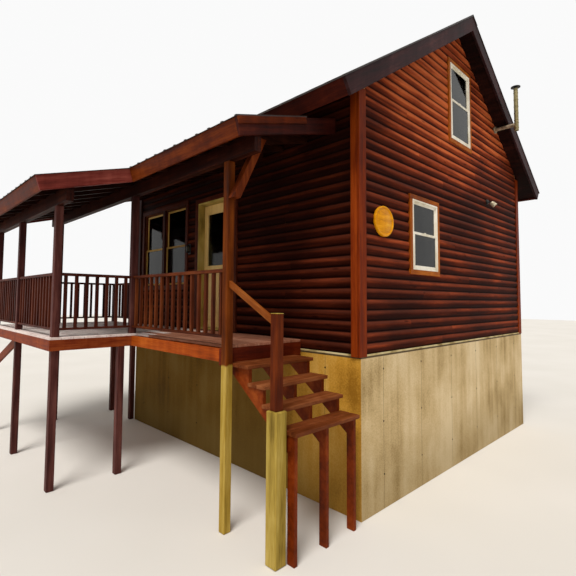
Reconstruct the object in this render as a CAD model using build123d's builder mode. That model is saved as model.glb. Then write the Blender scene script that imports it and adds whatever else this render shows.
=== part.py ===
from build123d import *
from math import atan, cos
import os

os.makedirs("parts", exist_ok=True)

# Driving dimensions, in millimetres. Heights are measured from the top of
# the sill strip; the lowest ground the cabin meets is base_h below it.
course = 127.0            # exposed height of one log siding course
width = 5490.0            # gable walls, along X
length = 5490.0           # porch side wall, along Y
base_h = 1800.0           # sill strip top above the lowest ground
wall_t = 150.0            # wall thickness
crest = 10.0              # log crest behind the corner board face
groove = 30.0             # wall core and trim backing behind the corner board face
log_joint = 26.0          # bottom of the joint between two courses
foundation_t = 200.0      # concrete wall
sill_h = 40.0             # sill strip
floor_top = 130.0         # inside floor above the sill
loft_top = 2690.0         # loft floor, shown by the upper window
floor_t = 160.0           # loft floor depth
board_w = 100.0           # corner boards and window trim
board_t = 30.0

# Main roof
roof_rise = 0.672         # rise over run
eave_out = 590.0          # top edge of the eave boards beyond the wall
rake_out = 200.0          # roof deck beyond the gable
fascia_t = 38.0
fascia_h = 227.0
rake_h = 235.0
deck_v = 80.0             # roof deck, measured plumb
ridge_z = 5143.0          # top of the roof deck at the ridge
metal_t = 5.0
rib_h = 20.0
rib_w = 30.0
rib_pitch = 228.6
cap_w = 160.0
cap_t = 6.0
metal_rake = 10.0         # sheets beyond the rake boards
metal_eave = 20.0         # sheets beyond the main eave boards
soffit_t = 15.0

# Porch roof and deck
porch_rise = 0.29
porch_top = 2660.0        # porch roof deck, porch_ref out from the wall
porch_ref = 553.0
porch_inner = 515.0       # where the porch roof ends, under the main eave
porch_deck_t = 40.0
porch_near = 400.0        # near end of the narrow porch roof
porch_eave = 1470.0       # narrow roof out from the wall
wide_near = 2730.0        # near end of the wide porch roof
wide_eave = 2600.0        # wide roof out from the wall
wide_far = 6960.0
porch_drip = 15.0         # sheets beyond the porch eave boards
porch_rib_h = 16.0
rafter_h = 140.0
rafter_w = 40.0
header_h = 185.0
header_w = 90.0
post_w = 90.0
deck_top = 118.0
deck_board_t = 30.0
deck_joist_h = 140.0
rim_t = 38.0
near_post = 825.0         # front of the post beside the stairs
deck_near = 915.0
deck_step = 3060.0
deck_far = 6580.0
narrow_out = 1245.0
wide_out = 2320.0
mid_post_y = 4940.0
under_post_x = -1385.0     # lower post under the deck beside the step
corner_post_y = 5560.0
rail_top = 830.0          # top of rail above the deck
rail_low = 85.0
rail_h = 38.0
low_rail_h = 30.0
rail_w = 60.0
baluster_w = 38.0
baluster_pitch = 123.0
narrow_pitch = 143.0

# Stairs
riser = 180.0
going = 220.0
tread_gap = 85.0          # from the deck rim to the top tread
riser_low = -87.0          # rim behind the top tread
hanger_low = -160.0        # board that the stringers hang on
top_tread_back = 890.0
top_tread_left = 1155.0
tread_depth = 260.0
tread_t = 38.0
tread_count = 4
stair_left = 1130.0
stair_right = 150.0
stringer_w = 40.0
newel_y = 100.0
newel_top = 490.0
pier_w = 140.0
pier_top = -415.0

# Windows: left, right, bottom, top seen from outside
low_win = (1180.0, 1885.0, 1030.0, 1975.0)
high_win = (2410.0, 3120.0, 3145.0, 4355.0)
porch_win = (3700.0, 5240.0, 860.0, 2280.0)
frame_d = 80.0
frame_face = 0.0          # the white frames stand nearly flush with their trim
sash_w = 45.0
glass_t = 6.0
trim_w = 75.0
trim_t = 40.0

# Door in the porch wall
door_w = 900.0
door_h = 2030.0
door_t = 44.0
door_hinge_y = 3260.0
clear = 6.0
jamb_t = 30.0
door_sill = 25.0
pin_r = 5.0
pin_gap = 0.05
pin_out = 9.0             # hinge pin inside the inner face of the wall
knuckle_r = 8.0
knuckle_h = 34.0
knuckle_gap = 1.0         # above and below the middle knuckle
hinge_leaf = 3.5
hinge_plate = 40.0
hinge_inset = 250.0       # hinge centres from the ends of the leaf

# Stovepipe through the gable
pipe_x = 4300.0
pipe_z = 3805.0
pipe_r = 33.0
pipe_y = -370.0
pipe_low = 3690.0
pipe_high = 4470.0
pipe_cap_r = 80.0

x_min = -wide_eave - fascia_t - porch_drip
x_max = width + eave_out + metal_eave
y_min = pipe_y - pipe_cap_r
y_max = wide_far + fascia_t + metal_rake
past = 10.0               # how far a cutting shape passes the piece that it cuts
ox = -(x_min + x_max) / 2.0
oy = -(y_min + y_max) / 2.0
ridge_x = width / 2.0


def slab(x0, x1, y0, y1, z0, z1, mode=Mode.ADD):
    centre = ((x0 + x1) / 2 + ox, (y0 + y1) / 2 + oy, (z0 + z1) / 2 + base_h)
    with Locations(centre):
        Box(abs(x1 - x0), abs(y1 - y0), abs(z1 - z0), mode=mode)


def across(points, y0, y1, mode=Mode.ADD):
    # outline in X and Z, carried along Y
    place = Plane(origin=(ox, y0 + oy, base_h), x_dir=(1, 0, 0), z_dir=(0, -1, 0))
    with BuildSketch(place) as outline:
        with BuildLine():
            Polyline(*points, close=True)
        make_face()
    extrude(outline.sketch, amount=-(y1 - y0), mode=mode)


def along(points, x0, x1, mode=Mode.ADD):
    # outline in Y and Z, carried along X
    place = Plane(origin=(x0 + ox, oy, base_h), x_dir=(0, 1, 0), z_dir=(1, 0, 0))
    with BuildSketch(place) as outline:
        with BuildLine():
            Polyline(*points, close=True)
        make_face()
    extrude(outline.sketch, amount=x1 - x0, mode=mode)


def plan(points, z0, z1, mode=Mode.ADD):
    with BuildSketch(Plane(origin=(ox, oy, z0 + base_h))) as outline:
        with BuildLine():
            Polyline(*points, close=True)
        make_face()
    extrude(outline.sketch, amount=z1 - z0, mode=mode)


log_round = 6.0           # rounding near the edges of a log board


def log_face(top):
    # outer line of the log courses, from the sill up: depth, height
    line = []
    z = 0.0
    while z < top - 1.0:
        line.append((log_joint, z))
        for depth, part in ((crest + log_round, 0.12), (crest, 0.32), (crest, 0.68),
                            (crest + log_round, 0.88)):
            if z + part * course < top:
                line.append((depth, z + part * course))
        z += course
    line.append((log_joint, min(z, top)))
    return line


def deck_z(x):
    # top of the main roof deck over a point
    return ridge_z - roof_rise * abs(x - ridge_x)


def porch_z(x):
    # top of the porch roof deck; x is negative outside the wall
    return porch_top + porch_rise * (x + porch_ref)


slope_c = cos(atan(roof_rise))
slope_s = roof_rise * slope_c
porch_c = cos(atan(porch_rise))
porch_s = porch_rise * porch_c


def roof_point(x, depth):
    # square to the main roof, down from its deck on the porch side
    return (x + depth * slope_s, deck_z(x) - depth * slope_c)


def porch_point(x, depth):
    # square to the porch roof, down from its deck
    return (x + depth * porch_s, porch_z(x) - depth * porch_c)


def mirrored(points):
    return [(width - x, z) for x, z in points]


# Foundation and floors
with BuildPart() as foundation:
    slab(0, width, 0, length, -base_h, -sill_h)
    slab(foundation_t, width - foundation_t, foundation_t, length - foundation_t,
         -base_h, -sill_h, mode=Mode.SUBTRACT)

with BuildPart() as sill_strip:
    slab(0, width, 0, length, -sill_h, 0)
    slab(foundation_t, width - foundation_t, foundation_t, length - foundation_t,
         -sill_h, 0, mode=Mode.SUBTRACT)

with BuildPart() as floor:
    slab(wall_t, width - wall_t, wall_t, length - wall_t, 0, floor_top)

with BuildPart() as loft_floor:
    slab(wall_t, width - wall_t, wall_t, length - wall_t, loft_top - floor_t, loft_top)

# Gable walls
under_ridge = ridge_z - deck_v
face = log_face(under_ridge + past)
top = face[-1][1]
gable_line = face + [(wall_t, top), (wall_t, 0)]
back_line = [(length - y, z) for y, z in gable_line]
beside = 200.0            # how far the cut to the roof line passes the wall
cut_left = [(-beside, deck_z(-beside) - deck_v), (ridge_x, under_ridge),
            (ridge_x, top + beside), (-beside, top + beside)]
cut_right = mirrored(cut_left)

with BuildPart() as gable_wall_front:
    along(gable_line, groove, width - groove)
    slab(0, board_w, 0, groove, 0, top + past, mode=Mode.SUBTRACT)
    slab(width - board_w, width, 0, groove, 0, top + past, mode=Mode.SUBTRACT)
    across(cut_left, -past, wall_t + past, mode=Mode.SUBTRACT)
    across(cut_right, -past, wall_t + past, mode=Mode.SUBTRACT)
    for a, b, c, d in (low_win, high_win):
        slab(a, b, -past, wall_t + past, c, d, mode=Mode.SUBTRACT)
        slab(a - trim_w, b + trim_w, -past, groove, c - trim_w, d + trim_w, mode=Mode.SUBTRACT)

with BuildPart() as gable_wall_back:
    along(back_line, groove, width - groove)
    slab(0, board_w, length - groove, length, 0, top + past, mode=Mode.SUBTRACT)
    slab(width - board_w, width, length - groove, length, 0, top + past, mode=Mode.SUBTRACT)
    across(cut_left, length - wall_t - past, length + past, mode=Mode.SUBTRACT)
    across(cut_right, length - wall_t - past, length + past, mode=Mode.SUBTRACT)
    for a, b, c, d in (low_win, high_win):
        slab(a, b, length - wall_t - past, length + past, c, d, mode=Mode.SUBTRACT)
        slab(a - trim_w, b + trim_w, length - groove, length + past, c - trim_w, d + trim_w,
             mode=Mode.SUBTRACT)

# Side walls, their tops cut to the underside of the roof deck
side_top = deck_z(groove) - deck_v
side_face = log_face(side_top - soffit_t)
inner_top = deck_z(wall_t) - deck_v
side_line = side_face[:-1] + [(groove, side_top), (wall_t, inner_top), (wall_t, 0)]
far_line = mirrored(side_line)
hinge_y = door_hinge_y
free_y = hinge_y - door_w
frame_y0 = free_y - clear - jamb_t
frame_y1 = hinge_y + clear + jamb_t
frame_z0 = floor_top
frame_z1 = floor_top + door_sill + clear + door_h + clear + jamb_t

with BuildPart() as porch_wall_near:
    across(side_line, board_w, frame_y0)
    slab(groove, wall_t, board_w, wall_t, 0, inner_top + past, mode=Mode.SUBTRACT)
    slab(-past, groove, frame_y0 - trim_w, frame_y0, frame_z0, frame_z1 + trim_w,
         mode=Mode.SUBTRACT)

with BuildPart() as porch_wall_far:
    across(side_line, frame_y1, length - board_w)
    slab(groove, wall_t, length - wall_t, length - board_w, 0, inner_top + past,
         mode=Mode.SUBTRACT)
    slab(-past, groove, frame_y1, frame_y1 + trim_w, frame_z0, frame_z1 + trim_w,
         mode=Mode.SUBTRACT)
    slab(-past, wall_t + past, porch_win[0], porch_win[1], porch_win[2], porch_win[3],
         mode=Mode.SUBTRACT)
    slab(-past, groove, porch_win[0] - trim_w, porch_win[1] + trim_w, porch_win[2] - trim_w,
         porch_win[3] + trim_w, mode=Mode.SUBTRACT)

with BuildPart() as porch_wall_over:
    across(side_line, frame_y0, frame_y1)
    slab(-past, wall_t + past, frame_y0, frame_y1, -past, frame_z1, mode=Mode.SUBTRACT)
    slab(-past, groove, frame_y0, frame_y1, frame_z1, frame_z1 + trim_w, mode=Mode.SUBTRACT)

with BuildPart() as side_wall:
    across(far_line, board_w, length - board_w)
    for y0, y1 in ((board_w, wall_t), (length - wall_t, length - board_w)):
        slab(width - wall_t, width - groove, y0, y1, 0, inner_top + past, mode=Mode.SUBTRACT)

# Corner boards, one L at each corner
soffit_up = 30.0          # soffits above the lower edge of the rake boards
rake_in = rake_h - soffit_up
corner_top = deck_z(0) - rake_in
with BuildPart() as corner_boards:
    for sx, x0 in ((1, 0), (-1, width)):
        for sy, y0 in ((1, 0), (-1, length)):
            for wide, y1, y2 in ((board_w, 0, board_t), (board_t, board_t, board_w)):
                outline = [(x0, 0), (x0 + sx * wide, 0), (x0 + sx * wide, deck_z(wide) - rake_in),
                           (x0, corner_top)]
                across(outline, y0 + min(sy * y1, sy * y2), y0 + max(sy * y1, sy * y2))

# Main roof
y_front = -rake_out
y_back = length + rake_out
x_eave = -eave_out
x_deck = x_eave + fascia_t * slope_c
west = [roof_point(x_deck, 0), (ridge_x, ridge_z), (ridge_x, ridge_z - deck_v),
        roof_point(x_deck, deck_v * slope_c)]
east = mirrored(west)
with BuildPart() as roof_deck_west:
    across(west, y_front, y_back)

with BuildPart() as roof_deck_east:
    across(east, y_front, y_back)

metal_edge = eave_out + metal_eave
rib_v = rib_h / slope_c
sheet_v = metal_t / slope_c
y_sheet0 = y_front - fascia_t - metal_rake
y_sheet1 = y_back + fascia_t + metal_rake
rib_count = int((y_sheet1 - y_sheet0 - rib_w) / rib_pitch)
rib_start = (y_sheet0 + y_sheet1 - rib_count * rib_pitch) / 2.0


def roof_strip(low, high, side):
    left = -metal_edge
    right = ridge_x
    pts = [(left, deck_z(left) + low), (right, ridge_z + low), (right, ridge_z + high),
           (left, deck_z(left) + high)]
    return pts if side > 0 else mirrored(pts)


with BuildPart() as roof_metal_west:
    across(roof_strip(0, sheet_v, 1), y_sheet0, y_sheet1)
    for i in range(rib_count + 1):
        y = rib_start + i * rib_pitch
        across(roof_strip(0, rib_v, 1), y - rib_w / 2, y + rib_w / 2)

with BuildPart() as roof_metal_east:
    across(roof_strip(0, sheet_v, -1), y_sheet0, y_sheet1)
    for i in range(rib_count + 1):
        y = rib_start + i * rib_pitch
        across(roof_strip(0, rib_v, -1), y - rib_w / 2, y + rib_w / 2)

with BuildPart() as ridge_cap:
    low = rib_v
    high = rib_v + cap_t
    across([(ridge_x - cap_w, deck_z(ridge_x - cap_w) + low), (ridge_x, ridge_z + low),
            (ridge_x + cap_w, deck_z(ridge_x + cap_w) + low),
            (ridge_x + cap_w, deck_z(ridge_x + cap_w) + high), (ridge_x, ridge_z + high),
            (ridge_x - cap_w, deck_z(ridge_x - cap_w) + high)], y_sheet0, y_sheet1)

rake_d = rake_h * slope_c
rake_line = [roof_point(x_eave, rake_d), roof_point(x_eave, 0), (ridge_x, ridge_z)]
rake_line += mirrored([roof_point(x_eave, 0), roof_point(x_eave, rake_d)])
rake_line += [(ridge_x, ridge_z - rake_h)]
with BuildPart() as rake_fascias:
    across(rake_line, y_front - fascia_t, y_front)
    across(rake_line, y_back, y_back + fascia_t)

# The eave boards stand square to the roof, so they lean in at the bottom
eave_board = [roof_point(x_eave, 0), roof_point(x_deck, 0), roof_point(x_deck, fascia_h * slope_c),
              roof_point(x_eave, fascia_h * slope_c)]
with BuildPart() as eave_fascias:
    across(eave_board, y_front, y_back)
    across(mirrored(eave_board), y_front, y_back)

soffit_d = rake_in * slope_c
soffit_v = soffit_t / slope_c
low_edge = [roof_point(x_deck, soffit_d - soffit_t), roof_point(x_deck, soffit_d)]
gable_soffit = low_edge + [(ridge_x, ridge_z - rake_in)] + mirrored(low_edge)[::-1]
gable_soffit += [(ridge_x, ridge_z - rake_in + soffit_v)]
wall_z = deck_z(crest) - rake_in
eave_soffit = low_edge + [(crest, wall_z), (crest, wall_z + soffit_v)]
with BuildPart() as soffits:
    across(gable_soffit, y_front, crest)
    across(gable_soffit, length - crest, y_back)
    across(eave_soffit, crest, length - crest)
    across(mirrored(eave_soffit), crest, length - crest)

# Gable windows
with BuildPart() as gable_window_frames:
    for a, b, c, d in (low_win, high_win):
        mid = (c + d) / 2.0
        for y0, y1 in ((frame_face, frame_face + frame_d),
                       (length - frame_face - frame_d, length - frame_face)):
            slab(a, b, y0, y1, c, d)
            slab(a + sash_w, b - sash_w, y0, y1, c + sash_w, mid - sash_w / 2, mode=Mode.SUBTRACT)
            slab(a + sash_w, b - sash_w, y0, y1, mid + sash_w / 2, d - sash_w, mode=Mode.SUBTRACT)

with BuildPart() as porch_window_frame:
    a, b, c, d = porch_win
    mid = (c + d) / 2.0
    centre = (a + b) / 2.0
    slab(groove, groove + frame_d, a, b, c, d)
    for y0, y1 in ((a + sash_w, centre - sash_w), (centre + sash_w, b - sash_w)):
        slab(groove, groove + frame_d, y0, y1, c + sash_w, mid - sash_w / 2, mode=Mode.SUBTRACT)
        slab(groove, groove + frame_d, y0, y1, mid + sash_w / 2, d - sash_w, mode=Mode.SUBTRACT)

glass_in = groove + frame_d / 2.0
pane_in = frame_face + frame_d / 2.0
with BuildPart() as window_glass:
    for a, b, c, d in (low_win, high_win):
        mid = (c + d) / 2.0
        for y in (pane_in, length - pane_in):
            slab(a + sash_w, b - sash_w, y - glass_t / 2, y + glass_t / 2, c + sash_w, mid - sash_w / 2)
            slab(a + sash_w, b - sash_w, y - glass_t / 2, y + glass_t / 2, mid + sash_w / 2, d - sash_w)
    a, b, c, d = porch_win
    mid = (c + d) / 2.0
    centre = (a + b) / 2.0
    for y0, y1 in ((a + sash_w, centre - sash_w), (centre + sash_w, b - sash_w)):
        slab(glass_in - glass_t / 2, glass_in + glass_t / 2, y0, y1, c + sash_w, mid - sash_w / 2)
        slab(glass_in - glass_t / 2, glass_in + glass_t / 2, y0, y1, mid + sash_w / 2, d - sash_w)

with BuildPart() as window_trim:
    for a, b, c, d in (low_win, high_win):
        for y0, y1 in ((groove - trim_t, groove), (length - groove, length - groove + trim_t)):
            slab(a - trim_w, b + trim_w, y0, y1, c - trim_w, d + trim_w)
            slab(a, b, y0, y1, c, d, mode=Mode.SUBTRACT)
    a, b, c, d = porch_win
    slab(groove - trim_t, groove, a - trim_w, b + trim_w, c - trim_w, d + trim_w)
    slab(groove - trim_t, groove, a, b, c, d, mode=Mode.SUBTRACT)

# Door
stop_w = 12.0
leaf_in = wall_t
leaf_out = wall_t - door_t
leaf_z0 = floor_top + door_sill + clear
leaf_z1 = leaf_z0 + door_h
pin_x = wall_t + pin_out
pin_y = hinge_y + clear / 2.0
hinge_z = (leaf_z0 + hinge_inset, (leaf_z0 + leaf_z1) / 2.0, leaf_z1 - hinge_inset)


def post_round(x, y, z, r, h, mode=Mode.ADD):
    with Locations((x + ox, y + oy, z + base_h)):
        Cylinder(r, h, mode=mode)


with BuildPart() as door_frame:
    slab(groove, wall_t, frame_y0, frame_y1, 0, frame_z0)
    slab(groove - trim_t, wall_t, frame_y0, frame_y1, frame_z0, frame_z1)
    slab(groove - trim_t - past, wall_t + past, frame_y0 + jamb_t, frame_y1 - jamb_t,
         frame_z0 + door_sill, frame_z1 - jamb_t, mode=Mode.SUBTRACT)
    slab(leaf_out - clear - stop_w, leaf_out - clear, frame_y0 + jamb_t,
         frame_y0 + jamb_t + stop_w, frame_z0 + door_sill, frame_z1 - jamb_t)
    slab(leaf_out - clear - stop_w, leaf_out - clear, frame_y1 - jamb_t - stop_w,
         frame_y1 - jamb_t, frame_z0 + door_sill, frame_z1 - jamb_t)
    slab(groove - trim_t, groove, frame_y0 - trim_w, frame_y0, frame_z0, frame_z1 + trim_w)
    slab(groove - trim_t, groove, frame_y1, frame_y1 + trim_w, frame_z0, frame_z1 + trim_w)
    slab(groove - trim_t, groove, frame_y0, frame_y1, frame_z1, frame_z1 + trim_w)
    for z in hinge_z:
        post_round(pin_x, pin_y, z, pin_r, 3 * knuckle_h)
        for end in (z - knuckle_h, z + knuckle_h):
            post_round(pin_x, pin_y, end, knuckle_r, knuckle_h)
            slab(wall_t, wall_t + hinge_leaf, pin_y, pin_y + hinge_plate, end - knuckle_h / 2,
                 end + knuckle_h / 2)

lite_w = 700.0
lite_z0 = 1170.0
lite_z1 = 2035.0
door_mid = (hinge_y + free_y) / 2.0
handle_y = free_y + 60.0
handle_z = floor_top + 950.0
plate_t = 6.0
plate_half_w = 20.0
plate_half_h = 110.0
neck = 50.0
neck_half = 8.0
lever_t = 16.0
lever_l = 95.0
lever_half_h = 10.0
lite_in = leaf_out + 18.0
with BuildPart() as door_leaf:
    slab(leaf_out, leaf_in, free_y, hinge_y, leaf_z0, leaf_z1)
    slab(leaf_out, leaf_in, door_mid - lite_w / 2, door_mid + lite_w / 2, lite_z0, lite_z1,
         mode=Mode.SUBTRACT)
    for z in hinge_z:
        post_round(pin_x, pin_y, z, knuckle_r, knuckle_h - 2 * knuckle_gap)
        slab(wall_t, wall_t + hinge_leaf, pin_y - hinge_plate, pin_y,
             z - knuckle_h / 2 + knuckle_gap, z + knuckle_h / 2 - knuckle_gap)
        post_round(pin_x, pin_y, z, pin_r + pin_gap, knuckle_h, mode=Mode.SUBTRACT)
    for skin, way in ((leaf_out, -1), (leaf_in, 1)):
        slab(skin, skin + way * plate_t, handle_y - plate_half_w, handle_y + plate_half_w,
             handle_z - plate_half_h, handle_z + plate_half_h)
        slab(skin + way * plate_t, skin + way * neck, handle_y - neck_half,
             handle_y + neck_half, handle_z - neck_half, handle_z + neck_half)
        slab(skin + way * neck, skin + way * (neck + lever_t), handle_y - neck_half,
             handle_y + lever_l, handle_z - lever_half_h, handle_z + lever_half_h)

with BuildPart() as door_glass:
    slab(lite_in, lite_in + glass_t, door_mid - lite_w / 2, door_mid + lite_w / 2,
         lite_z0, lite_z1)

# Fittings on the walls
plaque_x = 475.0
plaque_z = 1576.0
plaque_r = 188.0
plaque_t = 32.0
field_r = 163.0
field_d = 6.0             # the field lies this far behind the rim
with BuildPart() as plaque:
    with Locations((plaque_x + ox, crest - plaque_t / 2 + oy, plaque_z + base_h)):
        Cylinder(plaque_r, plaque_t, rotation=(90, 0, 0))
    with Locations((plaque_x + ox, crest - plaque_t + oy, plaque_z + base_h)):
        Cylinder(field_r, 2 * field_d, rotation=(90, 0, 0), mode=Mode.SUBTRACT)

flood_x = 3850.0
flood_z = 2365.0
flood_half = 55.0
flood_mount = 30.0
flood_arm = 80.0
flood_front = 150.0
arm_half = 15.0
mount_low = 40.0          # flood light: reach of each piece below and above its middle
mount_high = 60.0
arm_low = 20.0
arm_high = 15.0
head_low = 95.0
head_high = 30.0
with BuildPart() as flood_light:
    slab(flood_x - flood_half, flood_x + flood_half, crest - flood_mount, crest,
         flood_z - mount_low, flood_z + mount_high)
    slab(flood_x - arm_half, flood_x + arm_half, crest - flood_arm, crest - flood_mount,
         flood_z - arm_low, flood_z + arm_high)
    slab(flood_x - flood_half, flood_x + flood_half, crest - flood_front, crest - flood_arm,
         flood_z - head_low, flood_z + head_high)

lamp_y = 3560.0
lamp_z = 1480.0
lamp_plate_half = 40.0
lamp_half = 38.0
lamp_plate = 20.0
lamp_front = 80.0
lamp_plate_z = 90.0
lantern_low = 60.0
lantern_high = 70.0
with BuildPart() as wall_lamp:
    slab(crest - lamp_plate, crest, lamp_y - lamp_plate_half, lamp_y + lamp_plate_half,
         lamp_z - lamp_plate_z, lamp_z + lamp_plate_z)
    slab(crest - lamp_front, crest - lamp_plate, lamp_y - lamp_half, lamp_y + lamp_half,
         lamp_z - lantern_low, lamp_z + lantern_high)

neck_r = 15.0
cap_low = 20.0            # underside of the cap above the pipe
cap_h = 35.0
with BuildPart() as stovepipe:
    with Locations((pipe_x + ox, pipe_y + oy, (pipe_low + pipe_high) / 2 + base_h)):
        Cylinder(pipe_r, pipe_high - pipe_low)
    with Locations((pipe_x + ox, (pipe_y + crest) / 2 + oy, pipe_z + base_h)):
        Cylinder(pipe_r, crest - pipe_y, rotation=(90, 0, 0))
    with Locations((pipe_x + ox, pipe_y + oy, pipe_high + cap_low / 2 + base_h)):
        Cylinder(neck_r, cap_low)
    with Locations((pipe_x + ox, pipe_y + oy, pipe_high + cap_low + cap_h / 2 + base_h)):
        Cylinder(pipe_cap_r, cap_h)

# Porch roof
inside = -porch_inner
end_f = -porch_eave - fascia_t
wide_f = -wide_eave - fascia_t
end_x = end_f + fascia_t * porch_c
wide_x = wide_f + fascia_t * porch_c
porch_deck_d = porch_deck_t * porch_c


def porch_slab(low, high, y0, y1, x0, x1, mode=Mode.ADD):
    across([(x0, porch_z(x0) + low), (x1, porch_z(x1) + low), (x1, porch_z(x1) + high),
            (x0, porch_z(x0) + high)], y0, y1, mode=mode)


def porch_board(x0, x1, depth, y0, y1):
    # a board or deck whose ends are cut square to the porch roof
    across([porch_point(x0, 0), porch_point(x1, 0), porch_point(x1, depth),
            porch_point(x0, depth)], y0, y1)


with BuildPart() as porch_roof_deck:
    porch_board(end_x, inside, porch_deck_d, porch_near, wide_near)
    porch_board(wide_x, inside, porch_deck_d, wide_near, wide_far)

near_edge = porch_near - fascia_t - metal_rake
wide_edge = wide_near - fascia_t - metal_rake
far_edge = wide_far + fascia_t + metal_rake
with BuildPart() as porch_roof_metal:
    porch_slab(0, metal_t, near_edge, far_edge, end_f - porch_drip, inside)
    porch_slab(0, metal_t, wide_edge, far_edge, wide_f - porch_drip, inside)
    count = int((wide_far - near_edge) / rib_pitch)
    for i in range(count + 1):
        y = near_edge + rib_w / 2 + i * rib_pitch
        out = end_f if y < wide_edge + rib_w else wide_f
        porch_slab(0, porch_rib_h, y - rib_w / 2, y + rib_w / 2, out - porch_drip, inside)

porch_fascia_h = 190.0
porch_fascia_d = porch_fascia_h * porch_c
with BuildPart() as porch_fascias:
    across([porch_point(end_f, porch_fascia_d), porch_point(end_f, 0), (crest, porch_z(crest)),
            (crest, porch_z(crest) - porch_fascia_h)], porch_near - fascia_t, porch_near)
    porch_board(wide_f, end_f, porch_fascia_d, wide_near - fascia_t, wide_near)
    porch_board(wide_f, inside, porch_fascia_d, wide_far, wide_far + fascia_t)
    porch_board(end_f, end_x, porch_fascia_d, porch_near, wide_near)
    porch_board(wide_f, wide_x, porch_fascia_d, wide_near, wide_far)

rail_z1 = deck_top + rail_top
rail_z0 = deck_top + rail_low
board_low = deck_top - deck_board_t
joist_low = board_low - deck_joist_h
post_x = -(narrow_out - post_w / 2)
outer_x = -(wide_out - rim_t - post_w / 2)
side_x = -post_w / 2
near_post_y = near_post + post_w / 2
inner_post_y = deck_step + rim_t + post_w / 2
far_post_y = deck_far - rim_t - post_w / 2
under_post_y = deck_step + post_w / 2
under_deck = -porch_deck_t
rafter_low = under_deck - rafter_h
rafter_pitch = near_post - porch_near
narrow_head = porch_z(post_x + header_w / 2) + rafter_low
outer_head = porch_z(outer_x + header_w / 2) + rafter_low


def rafter(y, out):
    inner = crest if y < length - board_w - rafter_w else inside
    if length - board_w - rafter_w <= y < length:
        inner = 0.0
    across([porch_point(out, -rafter_low * porch_c), (inner, porch_z(inner) + rafter_low),
            (inner, porch_z(inner) + under_deck), porch_point(out, porch_deck_d)],
           y - rafter_w / 2, y + rafter_w / 2)


rafter_first = porch_near + rafter_w / 2
with BuildPart() as porch_rafters:
    narrow_count = int((wide_near - porch_near) / rafter_pitch)
    for i in range(narrow_count + 1):
        rafter(rafter_first + i * rafter_pitch, end_x)
    wide_count = int((wide_far - wide_near - rafter_w) / rafter_pitch)
    for i in range(wide_count + 1):
        rafter(wide_near + rafter_w / 2 + i * rafter_pitch, wide_x)
    slab(post_x - header_w / 2, post_x + header_w / 2, near_post_y - post_w / 2, wide_far,
         narrow_head - header_h, narrow_head, mode=Mode.SUBTRACT)
    slab(outer_x - header_w / 2, outer_x + header_w / 2, wide_near, wide_far,
         outer_head - header_h, outer_head, mode=Mode.SUBTRACT)

with BuildPart() as porch_beams:
    slab(post_x - header_w / 2, post_x + header_w / 2, near_post_y - post_w / 2, wide_far,
         narrow_head - header_h, narrow_head)
    slab(outer_x - header_w / 2, outer_x + header_w / 2, wide_near, wide_far,
         outer_head - header_h, outer_head)

with BuildPart() as porch_posts:
    for y, foot in ((near_post_y, -base_h), (inner_post_y, deck_top)):
        slab(post_x - post_w / 2, post_x + post_w / 2, y - post_w / 2, y + post_w / 2,
             foot, narrow_head - header_h)
    slab(under_post_x - post_w / 2, under_post_x + post_w / 2, under_post_y - post_w / 2,
         under_post_y + post_w / 2, -base_h, joist_low)
    for y in (inner_post_y, mid_post_y, far_post_y):
        slab(outer_x - post_w / 2, outer_x + post_w / 2, y - post_w / 2, y + post_w / 2,
             -base_h, outer_head - header_h)
    slab(post_x - post_w / 2, post_x + post_w / 2, far_post_y - post_w / 2,
         far_post_y + post_w / 2, -base_h, narrow_head - header_h)
    for y in (corner_post_y, far_post_y):
        slab(side_x - post_w / 2, side_x + post_w / 2, y - post_w / 2, y + post_w / 2,
             -base_h, rail_z1)

# Deck: boards with openings round the posts, then rims and joists
deck_plan = [(0, deck_near), (-narrow_out, deck_near), (-narrow_out, deck_step),
             (-wide_out, deck_step), (-wide_out, deck_far), (0, deck_far)]
post_places = [(post_x, far_post_y),
               (outer_x, inner_post_y), (outer_x, mid_post_y), (outer_x, far_post_y),
               (side_x, corner_post_y), (side_x, far_post_y)]
bay = 600.0
with BuildPart() as deck_boards:
    plan(deck_plan, board_low, deck_top)
    for px, py in post_places:
        slab(px - post_w / 2, px + post_w / 2, py - post_w / 2, py + post_w / 2,
             board_low, deck_top, mode=Mode.SUBTRACT)

with BuildPart() as deck_frame:
    plan(deck_plan, joist_low, board_low)
    slab(-narrow_out, 0, deck_near, deck_near + rim_t, riser_low, joist_low)
    slab(-stair_left, -stair_right, deck_near, deck_near + rim_t, hanger_low, riser_low)
    slab(-narrow_out + rim_t, -rim_t, deck_near + rim_t, deck_far - rim_t, joist_low, board_low,
         mode=Mode.SUBTRACT)
    slab(-wide_out + rim_t, -narrow_out + rim_t, deck_step + rim_t, deck_far - rim_t, joist_low,
         board_low, mode=Mode.SUBTRACT)
    y = deck_near + bay
    while y < deck_far - bay / 2:
        out = narrow_out if y < deck_step + rim_t + post_w else wide_out
        slab(-out + rim_t, -rim_t, y - rim_t / 2, y + rim_t / 2, joist_low, board_low)
        y += bay
    for px, py in post_places:
        slab(px - post_w / 2, px + post_w / 2, py - post_w / 2, py + post_w / 2,
             joist_low, board_low, mode=Mode.SUBTRACT)

# Railings, each between two posts


def rail_y(x, y0, y1, pitch=baluster_pitch):
    slab(x - rail_w / 2, x + rail_w / 2, y0, y1, rail_z1 - rail_h, rail_z1)
    slab(x - rail_w / 2, x + rail_w / 2, y0, y1, rail_z0, rail_z0 + low_rail_h)
    n = int((y1 - y0) / pitch)
    for i in range(n):
        y = y0 + (i + 0.5) * (y1 - y0) / n
        slab(x - baluster_w / 2, x + baluster_w / 2, y - baluster_w / 2, y + baluster_w / 2,
             rail_z0 + low_rail_h, rail_z1 - rail_h)


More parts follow.
